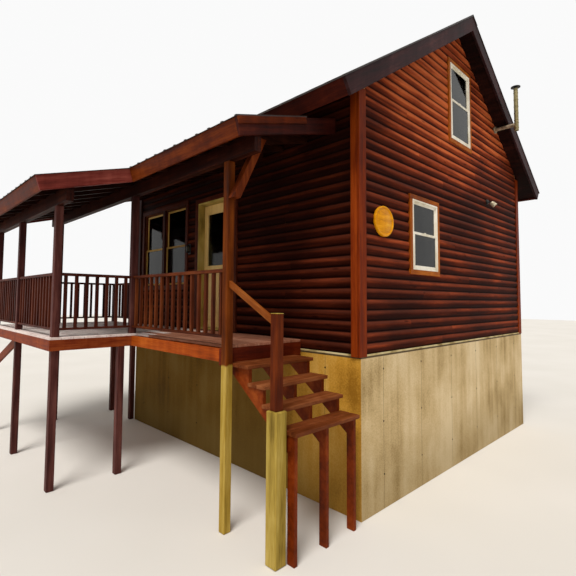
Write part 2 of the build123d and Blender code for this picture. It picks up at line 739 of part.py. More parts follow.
def rail_x(y, x0, x1):
    slab(x0, x1, y - rail_w / 2, y + rail_w / 2, rail_z1 - rail_h, rail_z1)
    slab(x0, x1, y - rail_w / 2, y + rail_w / 2, rail_z0, rail_z0 + low_rail_h)
    n = int((x1 - x0) / baluster_pitch)
    for i in range(n):
        x = x0 + (i + 0.5) * (x1 - x0) / n
        slab(x - baluster_w / 2, x + baluster_w / 2, y - baluster_w / 2, y + baluster_w / 2,
             rail_z0 + low_rail_h, rail_z1 - rail_h)


with BuildPart() as railing_narrow:
    rail_y(post_x, near_post_y + post_w / 2, inner_post_y - post_w / 2,
           narrow_pitch)

with BuildPart() as railing_wide:
    rail_x(inner_post_y, outer_x + post_w / 2, post_x - post_w / 2)
    rail_y(outer_x, inner_post_y + post_w / 2, mid_post_y - post_w / 2)
    rail_y(outer_x, mid_post_y + post_w / 2, far_post_y - post_w / 2)
    rail_x(far_post_y, outer_x + post_w / 2, post_x - post_w / 2)
    rail_x(far_post_y, post_x + post_w / 2, side_x - post_w / 2)
    rail_y(side_x, corner_post_y + post_w / 2, far_post_y - post_w / 2)

# Stairs beside the wall, down toward the near corner
ground = -base_h


def tread_z(k):
    return deck_top - riser * k


def tread_front(k):
    return deck_near - tread_gap - tread_depth - going * (k - 1)


with BuildPart() as stair_treads:
    slab(-top_tread_left, -stair_right, tread_front(1), top_tread_back, tread_z(1) - tread_t,
         tread_z(1))
    for k in range(2, tread_count + 1):
        slab(-stair_left, -stair_right, tread_front(k), tread_front(k) + tread_depth,
             tread_z(k) - tread_t, tread_z(k))

lap = tread_depth - going
saw = [(deck_near, tread_z(1) - tread_t)]
for k in range(1, tread_count + 1):
    z = tread_z(k) - tread_t
    saw.append((tread_front(k) + lap, z))
    if k < tread_count:
        saw.append((tread_front(k) + lap, z - riser))
foot_y = tread_front(tread_count) + lap
foot_z = tread_z(tread_count) - tread_t
leg_w = 90.0
throat = 170.0            # stringer left under the lowest tread
tread_end = 20.0          # treads beyond the outer stringers
saw += [(foot_y, ground), (foot_y + leg_w, ground), (foot_y + leg_w, foot_z - throat),
        (deck_near, hanger_low)]
stringer_x = (-stair_left + tread_end, -(stair_left + stair_right) / 2 - stringer_w / 2,
              -stair_right - stringer_w - tread_end)
with BuildPart() as stair_stringers:
    for x in stringer_x:
        along(saw, x, x + stringer_w)

pier_x = -stair_left - pier_w / 2
with BuildPart() as stair_newel:
    slab(pier_x - pier_w / 2, pier_x + pier_w / 2, newel_y - pier_w / 2, newel_y + pier_w / 2,
         ground, pier_top)
    slab(pier_x - post_w / 2, pier_x + post_w / 2, newel_y - post_w / 2, newel_y + post_w / 2,
         pier_top, newel_top)

hand_t = 38.0
hand_v = 106.0            # handrail board, measured plumb
hand_low = newel_top - 10.0
hand_high = 850.0
near_face = near_post_y - post_w / 2
hand_y = newel_y + post_w / 2
with BuildPart() as handrail:
    along([(hand_y, hand_low), (near_face, hand_high), (near_face, hand_high - hand_v),
           (hand_y, hand_low - hand_v)], pier_x - hand_t / 2, pier_x + hand_t / 2)

brace_half = 20.0
knee_low = 1705.0
knee_high = 2440.0
knee_lean = 0.5           # along X for each unit up
knee_w = 95.0             # measured level
knee_x = post_x - post_w / 2
knee_top = knee_x + (knee_high - knee_low) * knee_lean
under_y = mid_post_y + post_w / 2
far_face = far_post_y - post_w / 2
under_a = 202.0
under_high = -110.0
under_low = -632.0
under_w = 130.0
with BuildPart() as braces:
    across([(knee_x, knee_low), (knee_x + knee_w, knee_low), (knee_top + knee_w, knee_high),
            (knee_top, knee_high)], near_face - post_w, near_face)
    along([(under_y, joist_low), (under_y + under_a, joist_low), (far_face, under_low + under_w),
           (far_face, under_low), (under_y, under_high)], outer_x - brace_half, outer_x + brace_half)

foundation.part.label = "foundation"
export_step(foundation.part, "parts/foundation.step")
sill_strip.part.label = "sill_strip"
export_step(sill_strip.part, "parts/sill_strip.step")
floor.part.label = "floor"
export_step(floor.part, "parts/floor.step")
loft_floor.part.label = "loft_floor"
export_step(loft_floor.part, "parts/loft_floor.step")
gable_wall_front.part.label = "gable_wall_front"
export_step(gable_wall_front.part, "parts/gable_wall_front.step")
gable_wall_back.part.label = "gable_wall_back"
export_step(gable_wall_back.part, "parts/gable_wall_back.step")
porch_wall_near.part.label = "porch_wall_near"
export_step(porch_wall_near.part, "parts/porch_wall_near.step")
porch_wall_far.part.label = "porch_wall_far"
export_step(porch_wall_far.part, "parts/porch_wall_far.step")
porch_wall_over.part.label = "porch_wall_over"
export_step(porch_wall_over.part, "parts/porch_wall_over.step")
side_wall.part.label = "side_wall"
export_step(side_wall.part, "parts/side_wall.step")
corner_boards.part.label = "corner_boards"
export_step(corner_boards.part, "parts/corner_boards.step")
roof_deck_west.part.label = "roof_deck_west"
export_step(roof_deck_west.part, "parts/roof_deck_west.step")
roof_deck_east.part.label = "roof_deck_east"
export_step(roof_deck_east.part, "parts/roof_deck_east.step")
roof_metal_west.part.label = "roof_metal_west"
export_step(roof_metal_west.part, "parts/roof_metal_west.step")
roof_metal_east.part.label = "roof_metal_east"
export_step(roof_metal_east.part, "parts/roof_metal_east.step")
ridge_cap.part.label = "ridge_cap"
export_step(ridge_cap.part, "parts/ridge_cap.step")
rake_fascias.part.label = "rake_fascias"
export_step(rake_fascias.part, "parts/rake_fascias.step")
eave_fascias.part.label = "eave_fascias"
export_step(eave_fascias.part, "parts/eave_fascias.step")
soffits.part.label = "soffits"
export_step(soffits.part, "parts/soffits.step")
gable_window_frames.part.label = "gable_window_frames"
export_step(gable_window_frames.part, "parts/gable_window_frames.step")
porch_window_frame.part.label = "porch_window_frame"
export_step(porch_window_frame.part, "parts/porch_window_frame.step")
window_glass.part.label = "window_glass"
export_step(window_glass.part, "parts/window_glass.step")
window_trim.part.label = "window_trim"
export_step(window_trim.part, "parts/window_trim.step")
door_frame.part.label = "door_frame"
export_step(door_frame.part, "parts/door_frame.step")
door_leaf.part.label = "door_leaf"
export_step(door_leaf.part, "parts/door_leaf.step")
door_glass.part.label = "door_glass"
export_step(door_glass.part, "parts/door_glass.step")
plaque.part.label = "plaque"
export_step(plaque.part, "parts/plaque.step")
flood_light.part.label = "flood_light"
export_step(flood_light.part, "parts/flood_light.step")
wall_lamp.part.label = "wall_lamp"
export_step(wall_lamp.part, "parts/wall_lamp.step")
stovepipe.part.label = "stovepipe"
export_step(stovepipe.part, "parts/stovepipe.step")
porch_roof_deck.part.label = "porch_roof_deck"
export_step(porch_roof_deck.part, "parts/porch_roof_deck.step")
porch_roof_metal.part.label = "porch_roof_metal"
export_step(porch_roof_metal.part, "parts/porch_roof_metal.step")
porch_fascias.part.label = "porch_fascias"
export_step(porch_fascias.part, "parts/porch_fascias.step")
porch_rafters.part.label = "porch_rafters"
export_step(porch_rafters.part, "parts/porch_rafters.step")
porch_beams.part.label = "porch_beams"
export_step(porch_beams.part, "parts/porch_beams.step")
porch_posts.part.label = "porch_posts"
export_step(porch_posts.part, "parts/porch_posts.step")
deck_boards.part.label = "deck_boards"
export_step(deck_boards.part, "parts/deck_boards.step")
deck_frame.part.label = "deck_frame"
export_step(deck_frame.part, "parts/deck_frame.step")
railing_narrow.part.label = "railing_narrow"
export_step(railing_narrow.part, "parts/railing_narrow.step")
railing_wide.part.label = "railing_wide"
export_step(railing_wide.part, "parts/railing_wide.step")
stair_treads.part.label = "stair_treads"
export_step(stair_treads.part, "parts/stair_treads.step")
stair_stringers.part.label = "stair_stringers"
export_step(stair_stringers.part, "parts/stair_stringers.step")
stair_newel.part.label = "stair_newel"
export_step(stair_newel.part, "parts/stair_newel.step")
handrail.part.label = "handrail"
export_step(handrail.part, "parts/handrail.step")
braces.part.label = "braces"
export_step(braces.part, "parts/braces.step")
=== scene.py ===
import random
from math import atan, cos, pi, radians, sin

import bmesh
import bpy
from mathutils import Matrix, Vector


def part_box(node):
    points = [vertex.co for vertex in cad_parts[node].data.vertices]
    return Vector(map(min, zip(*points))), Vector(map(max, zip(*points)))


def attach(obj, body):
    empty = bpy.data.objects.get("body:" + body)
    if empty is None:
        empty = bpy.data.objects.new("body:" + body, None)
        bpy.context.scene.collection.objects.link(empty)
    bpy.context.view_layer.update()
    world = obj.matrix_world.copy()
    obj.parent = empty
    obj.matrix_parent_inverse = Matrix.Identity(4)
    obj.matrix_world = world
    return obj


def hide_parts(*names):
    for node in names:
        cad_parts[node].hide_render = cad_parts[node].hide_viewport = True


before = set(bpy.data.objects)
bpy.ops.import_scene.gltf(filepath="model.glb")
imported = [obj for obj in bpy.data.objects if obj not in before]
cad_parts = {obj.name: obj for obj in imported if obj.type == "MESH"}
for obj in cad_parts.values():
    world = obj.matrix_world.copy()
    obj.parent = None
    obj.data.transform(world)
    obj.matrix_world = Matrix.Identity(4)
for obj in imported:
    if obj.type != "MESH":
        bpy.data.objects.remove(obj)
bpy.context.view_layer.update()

# Concrete foundation
# Poured walls on the slope. The form boards left upright lines, and the ties
# that held the forms left rows of small holes. The eave side carries painted
# warm light, and painted shade darkens it under the deck.
footing_low, footing_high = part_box("sill_strip")
sill = footing_high.z


def at(x, y, z):
    # millimetres from the near corner, and up from the top of the sill strip
    return Vector((footing_low.x + x / 1000, footing_low.y + y / 1000, sill + z / 1000))


def paint(red, green, blue):
    # a colour as it looks on a screen, from 0 to 255
    return tuple((c / 255) ** 2.2 for c in (red, green, blue)) + (1.0,)


class Wire:
    def __init__(self, tree, socket=None):
        self.tree = tree
        self.socket = socket

    def node(self, kind, settings, inputs, out=0):
        made = self.tree.nodes.new("ShaderNode" + kind)
        for name, value in settings.items():
            if name == "stops":
                stops = made.color_ramp.elements
                stops[0].position, stops[0].color = value[0]
                stops[1].position, stops[1].color = value[-1]
                for place, colour in value[1:-1]:
                    stops.new(place).color = colour
            else:
                setattr(made, name, value)
        for name, value in inputs.items():
            if isinstance(value, Wire):
                self.tree.links.new(value.socket, made.inputs[name])
            else:
                made.inputs[name].default_value = value
        return Wire(self.tree, made.outputs[out])

    def math(self, operation, first, second=0.0):
        return self.node("Math", {"operation": operation}, {0: first, 1: second})

    def __add__(self, other):
        return self.math("ADD", self, other)

    __radd__ = __add__

    def __sub__(self, other):
        return self.math("SUBTRACT", self, other)

    def __rsub__(self, other):
        return self.math("SUBTRACT", other, self)

    def __mul__(self, other):
        return self.math("MULTIPLY", self, other)

    __rmul__ = __mul__

    def to_line(self, start, period):
        # distance to the nearest of a row of lines
        return self.math("PINGPONG", self - start, period / 2)

    def step(self, low, high):
        return self.node("MapRange", {"interpolation_type": "SMOOTHSTEP"},
                         {"Value": self, "From Min": low, "From Max": high})

    def noise(self, stretch, detail):
        spread = self.node("Mapping", {}, {"Vector": self, "Scale": stretch})
        return self.node("TexNoise", {}, {"Vector": spread, "Scale": 1.0, "Detail": detail})

    def ramp(self, *stops):
        return self.node("ValToRGB", {"stops": stops}, {"Fac": self})

    def mix(self, first, second):
        return self.node("Mix", {"data_type": "RGBA"}, {0: self, 6: first, 7: second}, 2)

    def axes(self):
        split = self.node("SeparateXYZ", {}, {"Vector": self}).socket.node
        return [Wire(self.tree, split.outputs[i]) for i in range(3)]


def new_finish(name, **fixed):
    made = bpy.data.materials.new(name)
    made.use_nodes = True
    shader = made.node_tree.nodes["Principled BSDF"]
    for socket, value in fixed.items():
        shader.inputs[socket.replace("_", " ")].default_value = value
    place = Wire(made.node_tree).node("TexCoord", {}, {}, "Object")
    return made, shader, place


def wear_in(shader, colour, rough=None, relief=None, depth=0.0015, strength=0.6):
    # links what varies over the surface; depth is the relief in metres
    tree = shader.id_data
    tree.links.new(colour.socket, shader.inputs["Base Color"])
    if rough is not None:
        tree.links.new(rough.socket, shader.inputs["Roughness"])
    if relief is not None:
        bump = relief.node("Bump", {}, {"Strength": strength, "Distance": depth,
                                        "Height": relief}, "Normal")
        tree.links.new(bump.socket, shader.inputs["Normal"])


def dress(finish, *names):
    # gives CAD nodes that stay their finish
    for name in names:
        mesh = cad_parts[name].data
        mesh.materials.clear()
        mesh.materials.append(finish)


form_pitch = 0.915
tie_pitch = 0.61
concrete, shader, place = new_finish("poured_concrete", Specular_IOR_Level=0.1)
x, y, z = place.axes()
bend = 0.03 * place.noise((1.5, 1.5, 1.2), 2.0)
to_form = (x + bend).to_line(footing_low.x + 0.47, form_pitch)
to_form = to_form.math("MINIMUM", to_form, (y + bend).to_line(footing_low.y + 0.53, form_pitch))
to_tie = z.to_line(sill - 0.19, tie_pitch)
form_line = 1 - to_form.step(0.001, 0.006)
tie_hole = 1 - (to_form * to_form + to_tie * to_tie).step(0.00008, 0.00018)
blotch = place.noise((1.2, 1.2, 1.0), 6.0)
grit = place.noise((60, 60, 60), 4.0)
drip = place.noise((8, 8, 0.6), 4.0)
pit = 1 - place.node("TexVoronoi", {}, {"Vector": place, "Scale": 34.0}).step(0.05, 0.12)
value = blotch * 0.55 + grit * 0.2 + drip * 0.25
colour = value.ramp(
    (0.36, paint(160, 134, 90)), (0.48, paint(206, 180, 134)), (0.6, paint(230, 208, 168)))
# painted warm light: a golden copy of the concrete colour for the eave side
painted_warm_light_ochre = value.ramp(
    (0.36, paint(150, 104, 32)), (0.48, paint(198, 146, 56)), (0.6, paint(218, 172, 88)))
eave_side = 1 - x.step(footing_low.x + 0.001, footing_low.x + 0.004)
colour = eave_side.mix(colour, painted_warm_light_ochre)
# painted shade: the eave side darkens under the deck
painted_under_deck_shade = eave_side * (y + 0.3 * blotch).step(footing_low.y + 0.75, footing_low.y + 1.75)
colour = (painted_under_deck_shade * 0.75).mix(colour, paint(46, 39, 18))
low_damp = 1 - (z + 0.35 * blotch).step(0.25, 1.25)
colour = (low_damp * 0.4).mix(colour, paint(110, 92, 54))
colour = (form_line * 0.6).mix(colour, paint(96, 76, 44))
colour = (pit * 0.4).mix(colour, paint(110, 92, 60))
colour = tie_hole.mix(colour, paint(34, 28, 20))
wear_in(shader, colour, 0.72 + 0.2 * grit,
        grit * 0.4 + blotch * 0.5 - form_line * 0.5 - tie_hole * 1.5 - pit * 0.5, 0.006, 0.7)
dress(concrete, "foundation")

# Sill strip
# A pale cream strip tops the concrete, with a dark shadow line under it and
# streaks of dirt.
cream, shader, place = new_finish("cream_strip", Specular_IOR_Level=0.1)
streak = place.noise((5, 5, 18), 4.0)
height = place.axes()[2]
colour = streak.ramp((0.34, paint(140, 118, 74)), (0.47, paint(196, 176, 126)),
                     (0.6, paint(214, 198, 152)))
lower = 1 - height.step(sill - 0.02, sill - 0.015)
colour = (lower * 0.9).mix(colour, paint(60, 42, 26))
wear_in(shader, colour, 0.45 + 0.3 * streak, streak - lower, 0.001)
dress(cream, "sill_strip")

# Log siding
# Half-round boards laid in courses on the four walls and butted end to end.
# The red-brown stain has weathered in blotches and is paler high on the gables.
# Its joints are darker, partly dirt and partly painted shade. Painted shade
# darkens the lower part of each board and the wall under the porch roof, a
# painted highlight and a painted sky sheen lighten the upper part, and a
# painted pool of light lies on the gable between the windows.
house = 5490              # each side of the cabin, in millimetres
wall_w = house / 1000     # this and the next eight lengths are in metres
side_wall_top = 3.085
roof_under = 5.063        # underside of the roof deck at the ridge
course = 0.127
board_crest = 0.006       # crest behind the face of the corner boards
board_round = 0.018       # fall from crest to joint
board_back = 0.045
corner_w = 0.12
butt_gap = 0.0012
facets = 14               # up the face of one board
trim_w = 75               # trim and openings are in millimetres
gable_trim_w = 64
trim_front, trim_back = -10, 30
low_window = (1180, 1885, 1030, 1975)
high_window = (2410, 3120, 3145, 4355)
porch_window = (3700, 5240, 860, 2280)
door_way = (2324, 3296, 130, 2227)
rise = 0.672              # of the main roof, for each unit across
random.seed(11)


def cleared(opening, wide, foot):
    # the part of the wall that the boards leave free, in metres
    s0, s1, z0, z1 = opening
    return (s0 - wide) / 1000, (s1 + wide) / 1000, (z0 - foot) / 1000, (z1 + wide) / 1000


def verts_in(geom):
    return [part for part in geom if isinstance(part, bmesh.types.BMVert)]


def everything(bm):
    return bm.verts[:] + bm.edges[:] + bm.faces[:]


def log_board(bm, s0, s1, z0, z1, base):
    # one board of the course that starts at base, or the part of it that an
    # opening leaves, with its own grain
    layer = bm.verts.layers.float_vector["grain"]
    steps = max(2, round((z1 - z0) / course * facets))
    line = []
    for i in range(steps + 1):
        z = z0 + (z1 - z0) * i / steps
        part = abs(2 * (z - base) / course - 1)
        line.append((s0, board_crest + board_round * part ** 2.3, z))
    line += [(s0, board_back, z1), (s0, board_back, z0)]
    end = bm.faces.new([bm.verts.new(p) for p in line])
    made = bmesh.ops.extrude_face_region(bm, geom=[end])["geom"]
    far = verts_in(made)
    bmesh.ops.translate(bm, vec=(s1 - s0, 0, 0), verts=far)
    shift = Vector((random.uniform(0, 40), random.randrange(60) * 2.0, 0))
    for v in list(end.verts) + far:
        v[layer] = v.co + shift


def log_wall(top, openings):
    # courses up to top along X, with butt joints at random places
    bm = bmesh.new()
    bm.verts.layers.float_vector.new("grain")
    base = 0.0
    while base < top - 0.01:
        high = min(base + course, top)
        butts = []
        s = random.uniform(0.9, 3.4)
        while s < wall_w - 0.6:
            butts.append(s)
            s += random.uniform(2.4, 3.66)
        cuts = {base, high}
        for s0, s1, z0, z1 in openings:
            cuts |= {z for z in (z0, z1) if base + 0.003 < z < high - 0.003}
        cuts = sorted(cuts)
        for low, up in zip(cuts, cuts[1:]):
            mid = (low + up) / 2
            free = [[corner_w + butt_gap, wall_w - corner_w - butt_gap]]
            for s0, s1, z0, z1 in sorted(openings):
                if z0 < mid < z1:
                    last = free.pop()
                    free += [[last[0], s0 - butt_gap], [s1 + butt_gap, last[1]]]
            for s0, s1 in free:
                ends = [s0] + [b for b in butts if s0 + 0.15 < b < s1 - 0.15] + [s1]
                for a, b in zip(ends, ends[1:]):
                    gap = butt_gap if b != s1 else 0.0
                    log_board(bm, a, b - gap, low, up, base)
        base += course
    return bm


def put(bm, name, body, finish, slot, *nodes):
    # makes the piece, which stands for the CAD nodes named
    bmesh.ops.recalc_face_normals(bm, faces=bm.faces[:])
    mesh = bpy.data.meshes.new(name)
    bm.to_mesh(mesh)
    bm.free()
    piece = bpy.data.objects.new(name, mesh)
    bpy.context.collection.objects.link(piece)
    mesh.materials.append(finish)
    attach(piece, body)
    if nodes:
        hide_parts(*nodes)
    return piece


def soften(piece, angle=35):
    for polygon in piece.data.polygons:
        polygon.use_smooth = True
    piece.data.set_sharp_from_angle(angle=radians(angle))


def repeat_behind(bm):
    # the back gable repeats the pieces of the front one
    made = bmesh.ops.duplicate(bm, geom=everything(bm))["geom"]
    middle = at(0, house / 2, 0).y
    for v in verts_in(made):
        v.co.y = 2 * middle - v.co.y


log_stain, shader, place = new_finish("log_siding_stain", Specular_IOR_Level=0.03)
grain = place.node("Attribute", {"attribute_name": "grain"}, {}, "Vector")
x, height = place.axes()[::2]
streak = grain.noise((1.1, 18, 18), 5.0)
fibre = grain.noise((9, 150, 150), 3.0)
weather = place.noise((0.8, 0.8, 1.3), 5.0)
each = grain.noise((0.03, 0.37, 0.37), 1.0)
knot = grain.node("Mapping", {}, {"Vector": grain, "Scale": (2.0, 9, 9)})
knot = knot.node("TexVoronoi", {}, {"Vector": knot, "Scale": 1.0})
knot = 1 - knot.step(0.05, 0.16)
courses_up = (height - sill) * (1 / course)
up_board = courses_up.math("FRACT", courses_up)
# painted highlight on the upper part of each board
painted_top_highlight = up_board.step(0.38, 0.66) * (1 - up_board.step(0.88, 0.98))
gable_top = height.step(sill + 1.9, sill + 4.2)
# a painted pool of light on the gable between the windows
sideways = (x - (footing_low.x + 1.9)) * 0.55
upward = (height - (sill + 3.0)) * 0.75
painted_light_pool = 1 - (sideways * sideways + upward * upward).step(0.0, 1.0)
stain = streak * 0.45 + fibre * 0.14 + weather * 0.42 + each * 0.25 + painted_top_highlight * 0.13
stain = stain + gable_top * 0.24 + painted_light_pool * 0.13 - 0.235
colour = stain.ramp(
    (0.34, paint(46, 19, 12)), (0.46, paint(74, 32, 20)), (0.56, paint(106, 46, 27)),
    (0.66, paint(156, 70, 40)), (0.78, paint(210, 108, 62)))
# painted reflection of the sky near the top of each board
painted_sky_sheen = up_board.step(0.5, 0.8) * (1 - up_board.step(0.92, 0.99))
colour = (painted_sky_sheen * 0.15).mix(colour, paint(142, 88, 72))
colour = (knot * 0.6).mix(colour, paint(38, 14, 10))
# dark joints, partly dirt and partly painted shade
to_joint = height.to_line(sill, course)
joint_dirt_and_shade = 1 - to_joint.step(0.0, 0.022)
# painted shade on the lower part of each board
colour = ((1 - up_board.step(0.02, 0.42)) * 0.5).mix(colour, paint(30, 10, 7))
colour = (joint_dirt_and_shade * 0.8).mix(colour, paint(16, 6, 5))
# painted shade on the wall under the porch roof, deeper higher up
porch_side = 1 - x.step(footing_low.x + 0.06, footing_low.x + 0.1)
painted_porch_roof_shade = porch_side * (0.45 + 0.33 * height.step(sill + 0.8, sill + 2.4))
colour = painted_porch_roof_shade.mix(colour, paint(20, 8, 6))
wear_in(shader, colour, 0.5 + 0.3 * streak, fibre * 0.3 + streak * 0.7 - knot * 0.3, 0.0025, 0.55)

near_corner = at(0, 0, 0)
gable_walls = log_wall(roof_under, [cleared(window, gable_trim_w, gable_trim_w)
                                    for window in (low_window, high_window)])
for side in (-1, 1):
    slope = Vector((side * rise, 0, 1))
    bmesh.ops.bisect_plane(gable_walls, geom=everything(gable_walls), plane_no=slope,
                           plane_co=(wall_w / 2, 0, roof_under - 0.002), clear_outer=True)
    bmesh.ops.holes_fill(gable_walls, edges=[e for e in gable_walls.edges if e.is_boundary])
bmesh.ops.translate(gable_walls, vec=near_corner, verts=gable_walls.verts)
repeat_behind(gable_walls)
side_turn = Matrix(((0, 1, 0, 0), (1, 0, 0, 0), (0, 0, 1, 0), (0, 0, 0, 1)))
porch_wall = log_wall(side_wall_top, [cleared(porch_window, trim_w, trim_w),
                                      cleared(door_way, trim_w, 0)])
bmesh.ops.transform(porch_wall, matrix=Matrix.Translation(near_corner) @ side_turn,
                    verts=porch_wall.verts)
far_wall = log_wall(side_wall_top, [])
far_turn = Matrix.Scale(-1, 4, (1, 0, 0)) @ side_turn
bmesh.ops.transform(far_wall, matrix=Matrix.Translation(at(house, 0, 0)) @ far_turn,
                    verts=far_wall.verts)
for bm, name in ((gable_walls, "log_boards_gables"), (porch_wall, "log_boards_porch"),
                 (far_wall, "log_boards_far")):
    soften(put(bm, name, "cabin", log_stain, "log_siding"), 25)

# Wall cores and floors
# The framed walls behind the siding, seen through the windows and in the
# doorway, and the plain boards of both floors.


def tones(dark, middle, light):
    # the three stops of a wood's ramp
    return (0.34, paint(*dark)), (0.5, paint(*middle)), (0.67, paint(*light))


def wood(name, stops, stretch=(1, 14, 14), source="grain", rough=0.55, line=None, bare=None):
    # sawn boards: long streaks, fine fibre, blotches from the weather and upright
    # stains; line draws joints across one axis, and below the height given with
    # bare, the paint stops
    made, shader, place = new_finish(name, Specular_IOR_Level=0.08)
    grain = place
    if source == "grain":
        grain = place.node("Attribute", {"attribute_name": "grain"}, {}, "Vector")
    streak = grain.noise(tuple(1.4 * s for s in stretch), 5.0)
    fibre = grain.noise(tuple(8 * s for s in stretch), 3.0)
    blotch = place.noise((1.6, 1.6, 1.6), 5.0)
    stained = place.noise((9, 9, 0.7), 4.0)
    each = grain.noise((0.11, 0.37, 0.37), 1.0)
    value = streak * 0.45 + fibre * 0.2 + blotch * 0.3 + stained * 0.2 + each * 0.3 - 0.22
    colour = value.ramp(*stops)
    relief = streak * 0.6 + fibre * 0.5
    if line:
        axis, start, pitch = line
        joint = 1 - place.axes()[axis].to_line(start, pitch).step(0.001, 0.005)
        colour = (joint * 0.75).mix(colour, paint(20, 12, 10))
        relief = relief - joint
    if bare:
        edge, bare_stops = bare
        paint_left = (place.axes()[2] + 0.05 * streak).step(edge, edge + 0.03)
        colour = paint_left.mix(value.ramp(*bare_stops), colour)
    wear_in(shader, colour, rough - 0.15 + 0.3 * streak, relief)
    return made


inner_pine = wood("inner_pine", tones((118, 84, 52), (160, 122, 80), (188, 150, 104)),
                  (0.9, 0.9, 12), "place")
dress(inner_pine, "gable_wall_front", "gable_wall_back", "porch_wall_near", "porch_wall_far",
      "porch_wall_over", "side_wall")
floor_boards = wood("floor_boards", tones((96, 70, 46), (132, 98, 64), (160, 124, 86)),
                    (12, 0.9, 12), "place", line=(0, 0.0, 0.14))
dress(floor_boards, "floor", "loft_floor")

# Corner boards
# A pair of planks up each corner, one on the gable and one on the side wall,
# painted the brown of the trim. The one under the porch roof is a darker copy,
# as painted shade.


def add_board(bm, size, place, ease):
    # one sawn board, its length along X, with eased edges and its own grain
    layer = bm.verts.layers.float_vector.get("grain") or bm.verts.layers.float_vector.new("grain")
    made = bmesh.ops.create_cube(bm, size=1.0, matrix=Matrix.Diagonal((*size, 1.0)))["verts"]
    edges = list({e for v in made for e in v.link_edges})
    made = bmesh.ops.bevel(bm, geom=edges, offset=ease, affect="EDGES", segments=1, profile=0.5,
                           material=-1)["verts"]
    shift = Vector((random.uniform(0, 30), random.randrange(80) * 2.0, 0))
    for v in made:
        v[layer] = v.co + shift
        v.co = place @ v.co
    return made


def level_board(bm, low, high, along, ease=0.003):
    # a board between two corners in millimetres, its grain along the given axis
    a, b = at(*low), at(*high)
    size = b - a
    turn = {"x": Matrix.Identity(4), "y": Matrix.Rotation(pi / 2, 4, "Z"),
            "z": Matrix.Rotation(-pi / 2, 4, "Y")}[along]
    size = {"x": size, "y": Vector((size.y, size.x, size.z)),
            "z": Vector((size.z, size.y, size.x))}[along]
    add_board(bm, size, Matrix.Translation((a + b) / 2) @ turn, ease)


def set_board(bm, start, end, up, wide, thick, ease=0.003):
    # a board round the line between two points in millimetres, its width along up
    a, b = at(*start), at(*end)
    way = (b - a).normalized()
    up = (Vector(up) - Vector(up).dot(way) * way).normalized()
    turn = Matrix((way, up.cross(way), up)).transposed().to_4x4()
    size = Vector(((b - a).length, thick / 1000, wide / 1000))
    return add_board(bm, size, Matrix.Translation((a + b) / 2) @ turn, ease)


def cut_board(bm, made, point, outward):
    # cuts the end off one board at a plane and closes it
    edges = list({e for v in made for e in v.link_edges})
    faces = list({f for v in made for f in v.link_faces})
    cut = bmesh.ops.bisect_plane(bm, geom=made + edges + faces, plane_co=at(*point),
                                 plane_no=outward, clear_outer=True)["geom_cut"]
    bmesh.ops.holes_fill(bm, edges=[e for e in cut if isinstance(e, bmesh.types.BMEdge)])
    return [v for v in made if v.is_valid] + verts_in(cut)


brown_board = wood("brown_board", tones((66, 24, 7), (114, 43, 10), (148, 64, 19)))
# painted shade: a darker copy of the brown board, for the plank under the porch roof
shaded_board = wood("shaded_board", tones((28, 12, 8), (50, 22, 15), (76, 38, 27)))
corner_foot, corner_top, side_proud, post_ease = -25, 3093, 25, 0.005
bm = bmesh.new()
shaded = bmesh.new()
for x, sx in ((0, 1), (house, -1)):
    for y, sy in ((0, 1), (house, -1)):
        under_porch = x == 0 and y > 0
        for deep, start, end in ((120, -4, 30), (30, 30.5, 120)):
            xs = sorted((x - sx * side_proud, x + sx * deep))
            ys = sorted((y + sy * start, y + sy * end))
            level_board(shaded if under_porch and start > 0 else bm, (xs[0], ys[0], corner_foot),
                        (xs[1], ys[1], corner_top), "z", post_ease)
put(bm, "corner_planks", "cabin", brown_board, "brown_wood", "corner_boards")
put(shaded, "porch_corner_plank", "cabin", shaded_board, "brown_wood")

# Main roof
# Dark ribbed sheets screwed over boards. Weathered brown boards close the
# rakes and eaves, cut square to the slope, with dark soffits under them.
sheet_metal, shader, place = new_finish("ribbed_sheet", Metallic=0.3)
streak = place.noise((3, 14, 3), 5.0)
dust = place.noise((1.2, 1.2, 1.2), 6.0)
colour = (streak * 0.4 + dust * 0.6).ramp((0.36, paint(36, 27, 24)), (0.52, paint(54, 42, 37)),
                                          (0.68, paint(84, 70, 62)))
wear_in(shader, colour, 0.36 + 0.3 * dust, streak, 0.001, 0.3)
dress(sheet_metal, "roof_metal_west", "roof_metal_east", "ridge_cap", "porch_roof_metal")
roof_boards = wood("roof_boards", tones((34, 21, 16), (60, 38, 27), (90, 62, 44)), (12, 0.9, 12),
                   "place", line=(0, 0.05, 0.2))
dress(roof_boards, "roof_deck_west", "roof_deck_east", "porch_roof_deck")
dress(wood("soffit_boards", tones((16, 7, 6), (32, 14, 11), (52, 26, 20)), (8, 0.9, 8), "place",
           line=(0, 0.02, 0.1)), "soffits")

ridge_x, ridge_z, eave_x, board_t = house / 2, 5143, -590, 38
rake_out = 200            # past the face of the gable
rib_pitch = 228.6
slope_c = cos(atan(rise))
slope_s = rise * slope_c


def below_roof(x, depth, y):
    # square down from the top of the roof boards, on either slope
    side = -1 if x > ridge_x else 1
    return x + side * depth * slope_s, y, ridge_z - rise * abs(x - ridge_x) - depth * slope_c


def roof_lean(side):
    # square up from either slope
    return Vector((-side * slope_s, 0, slope_c))


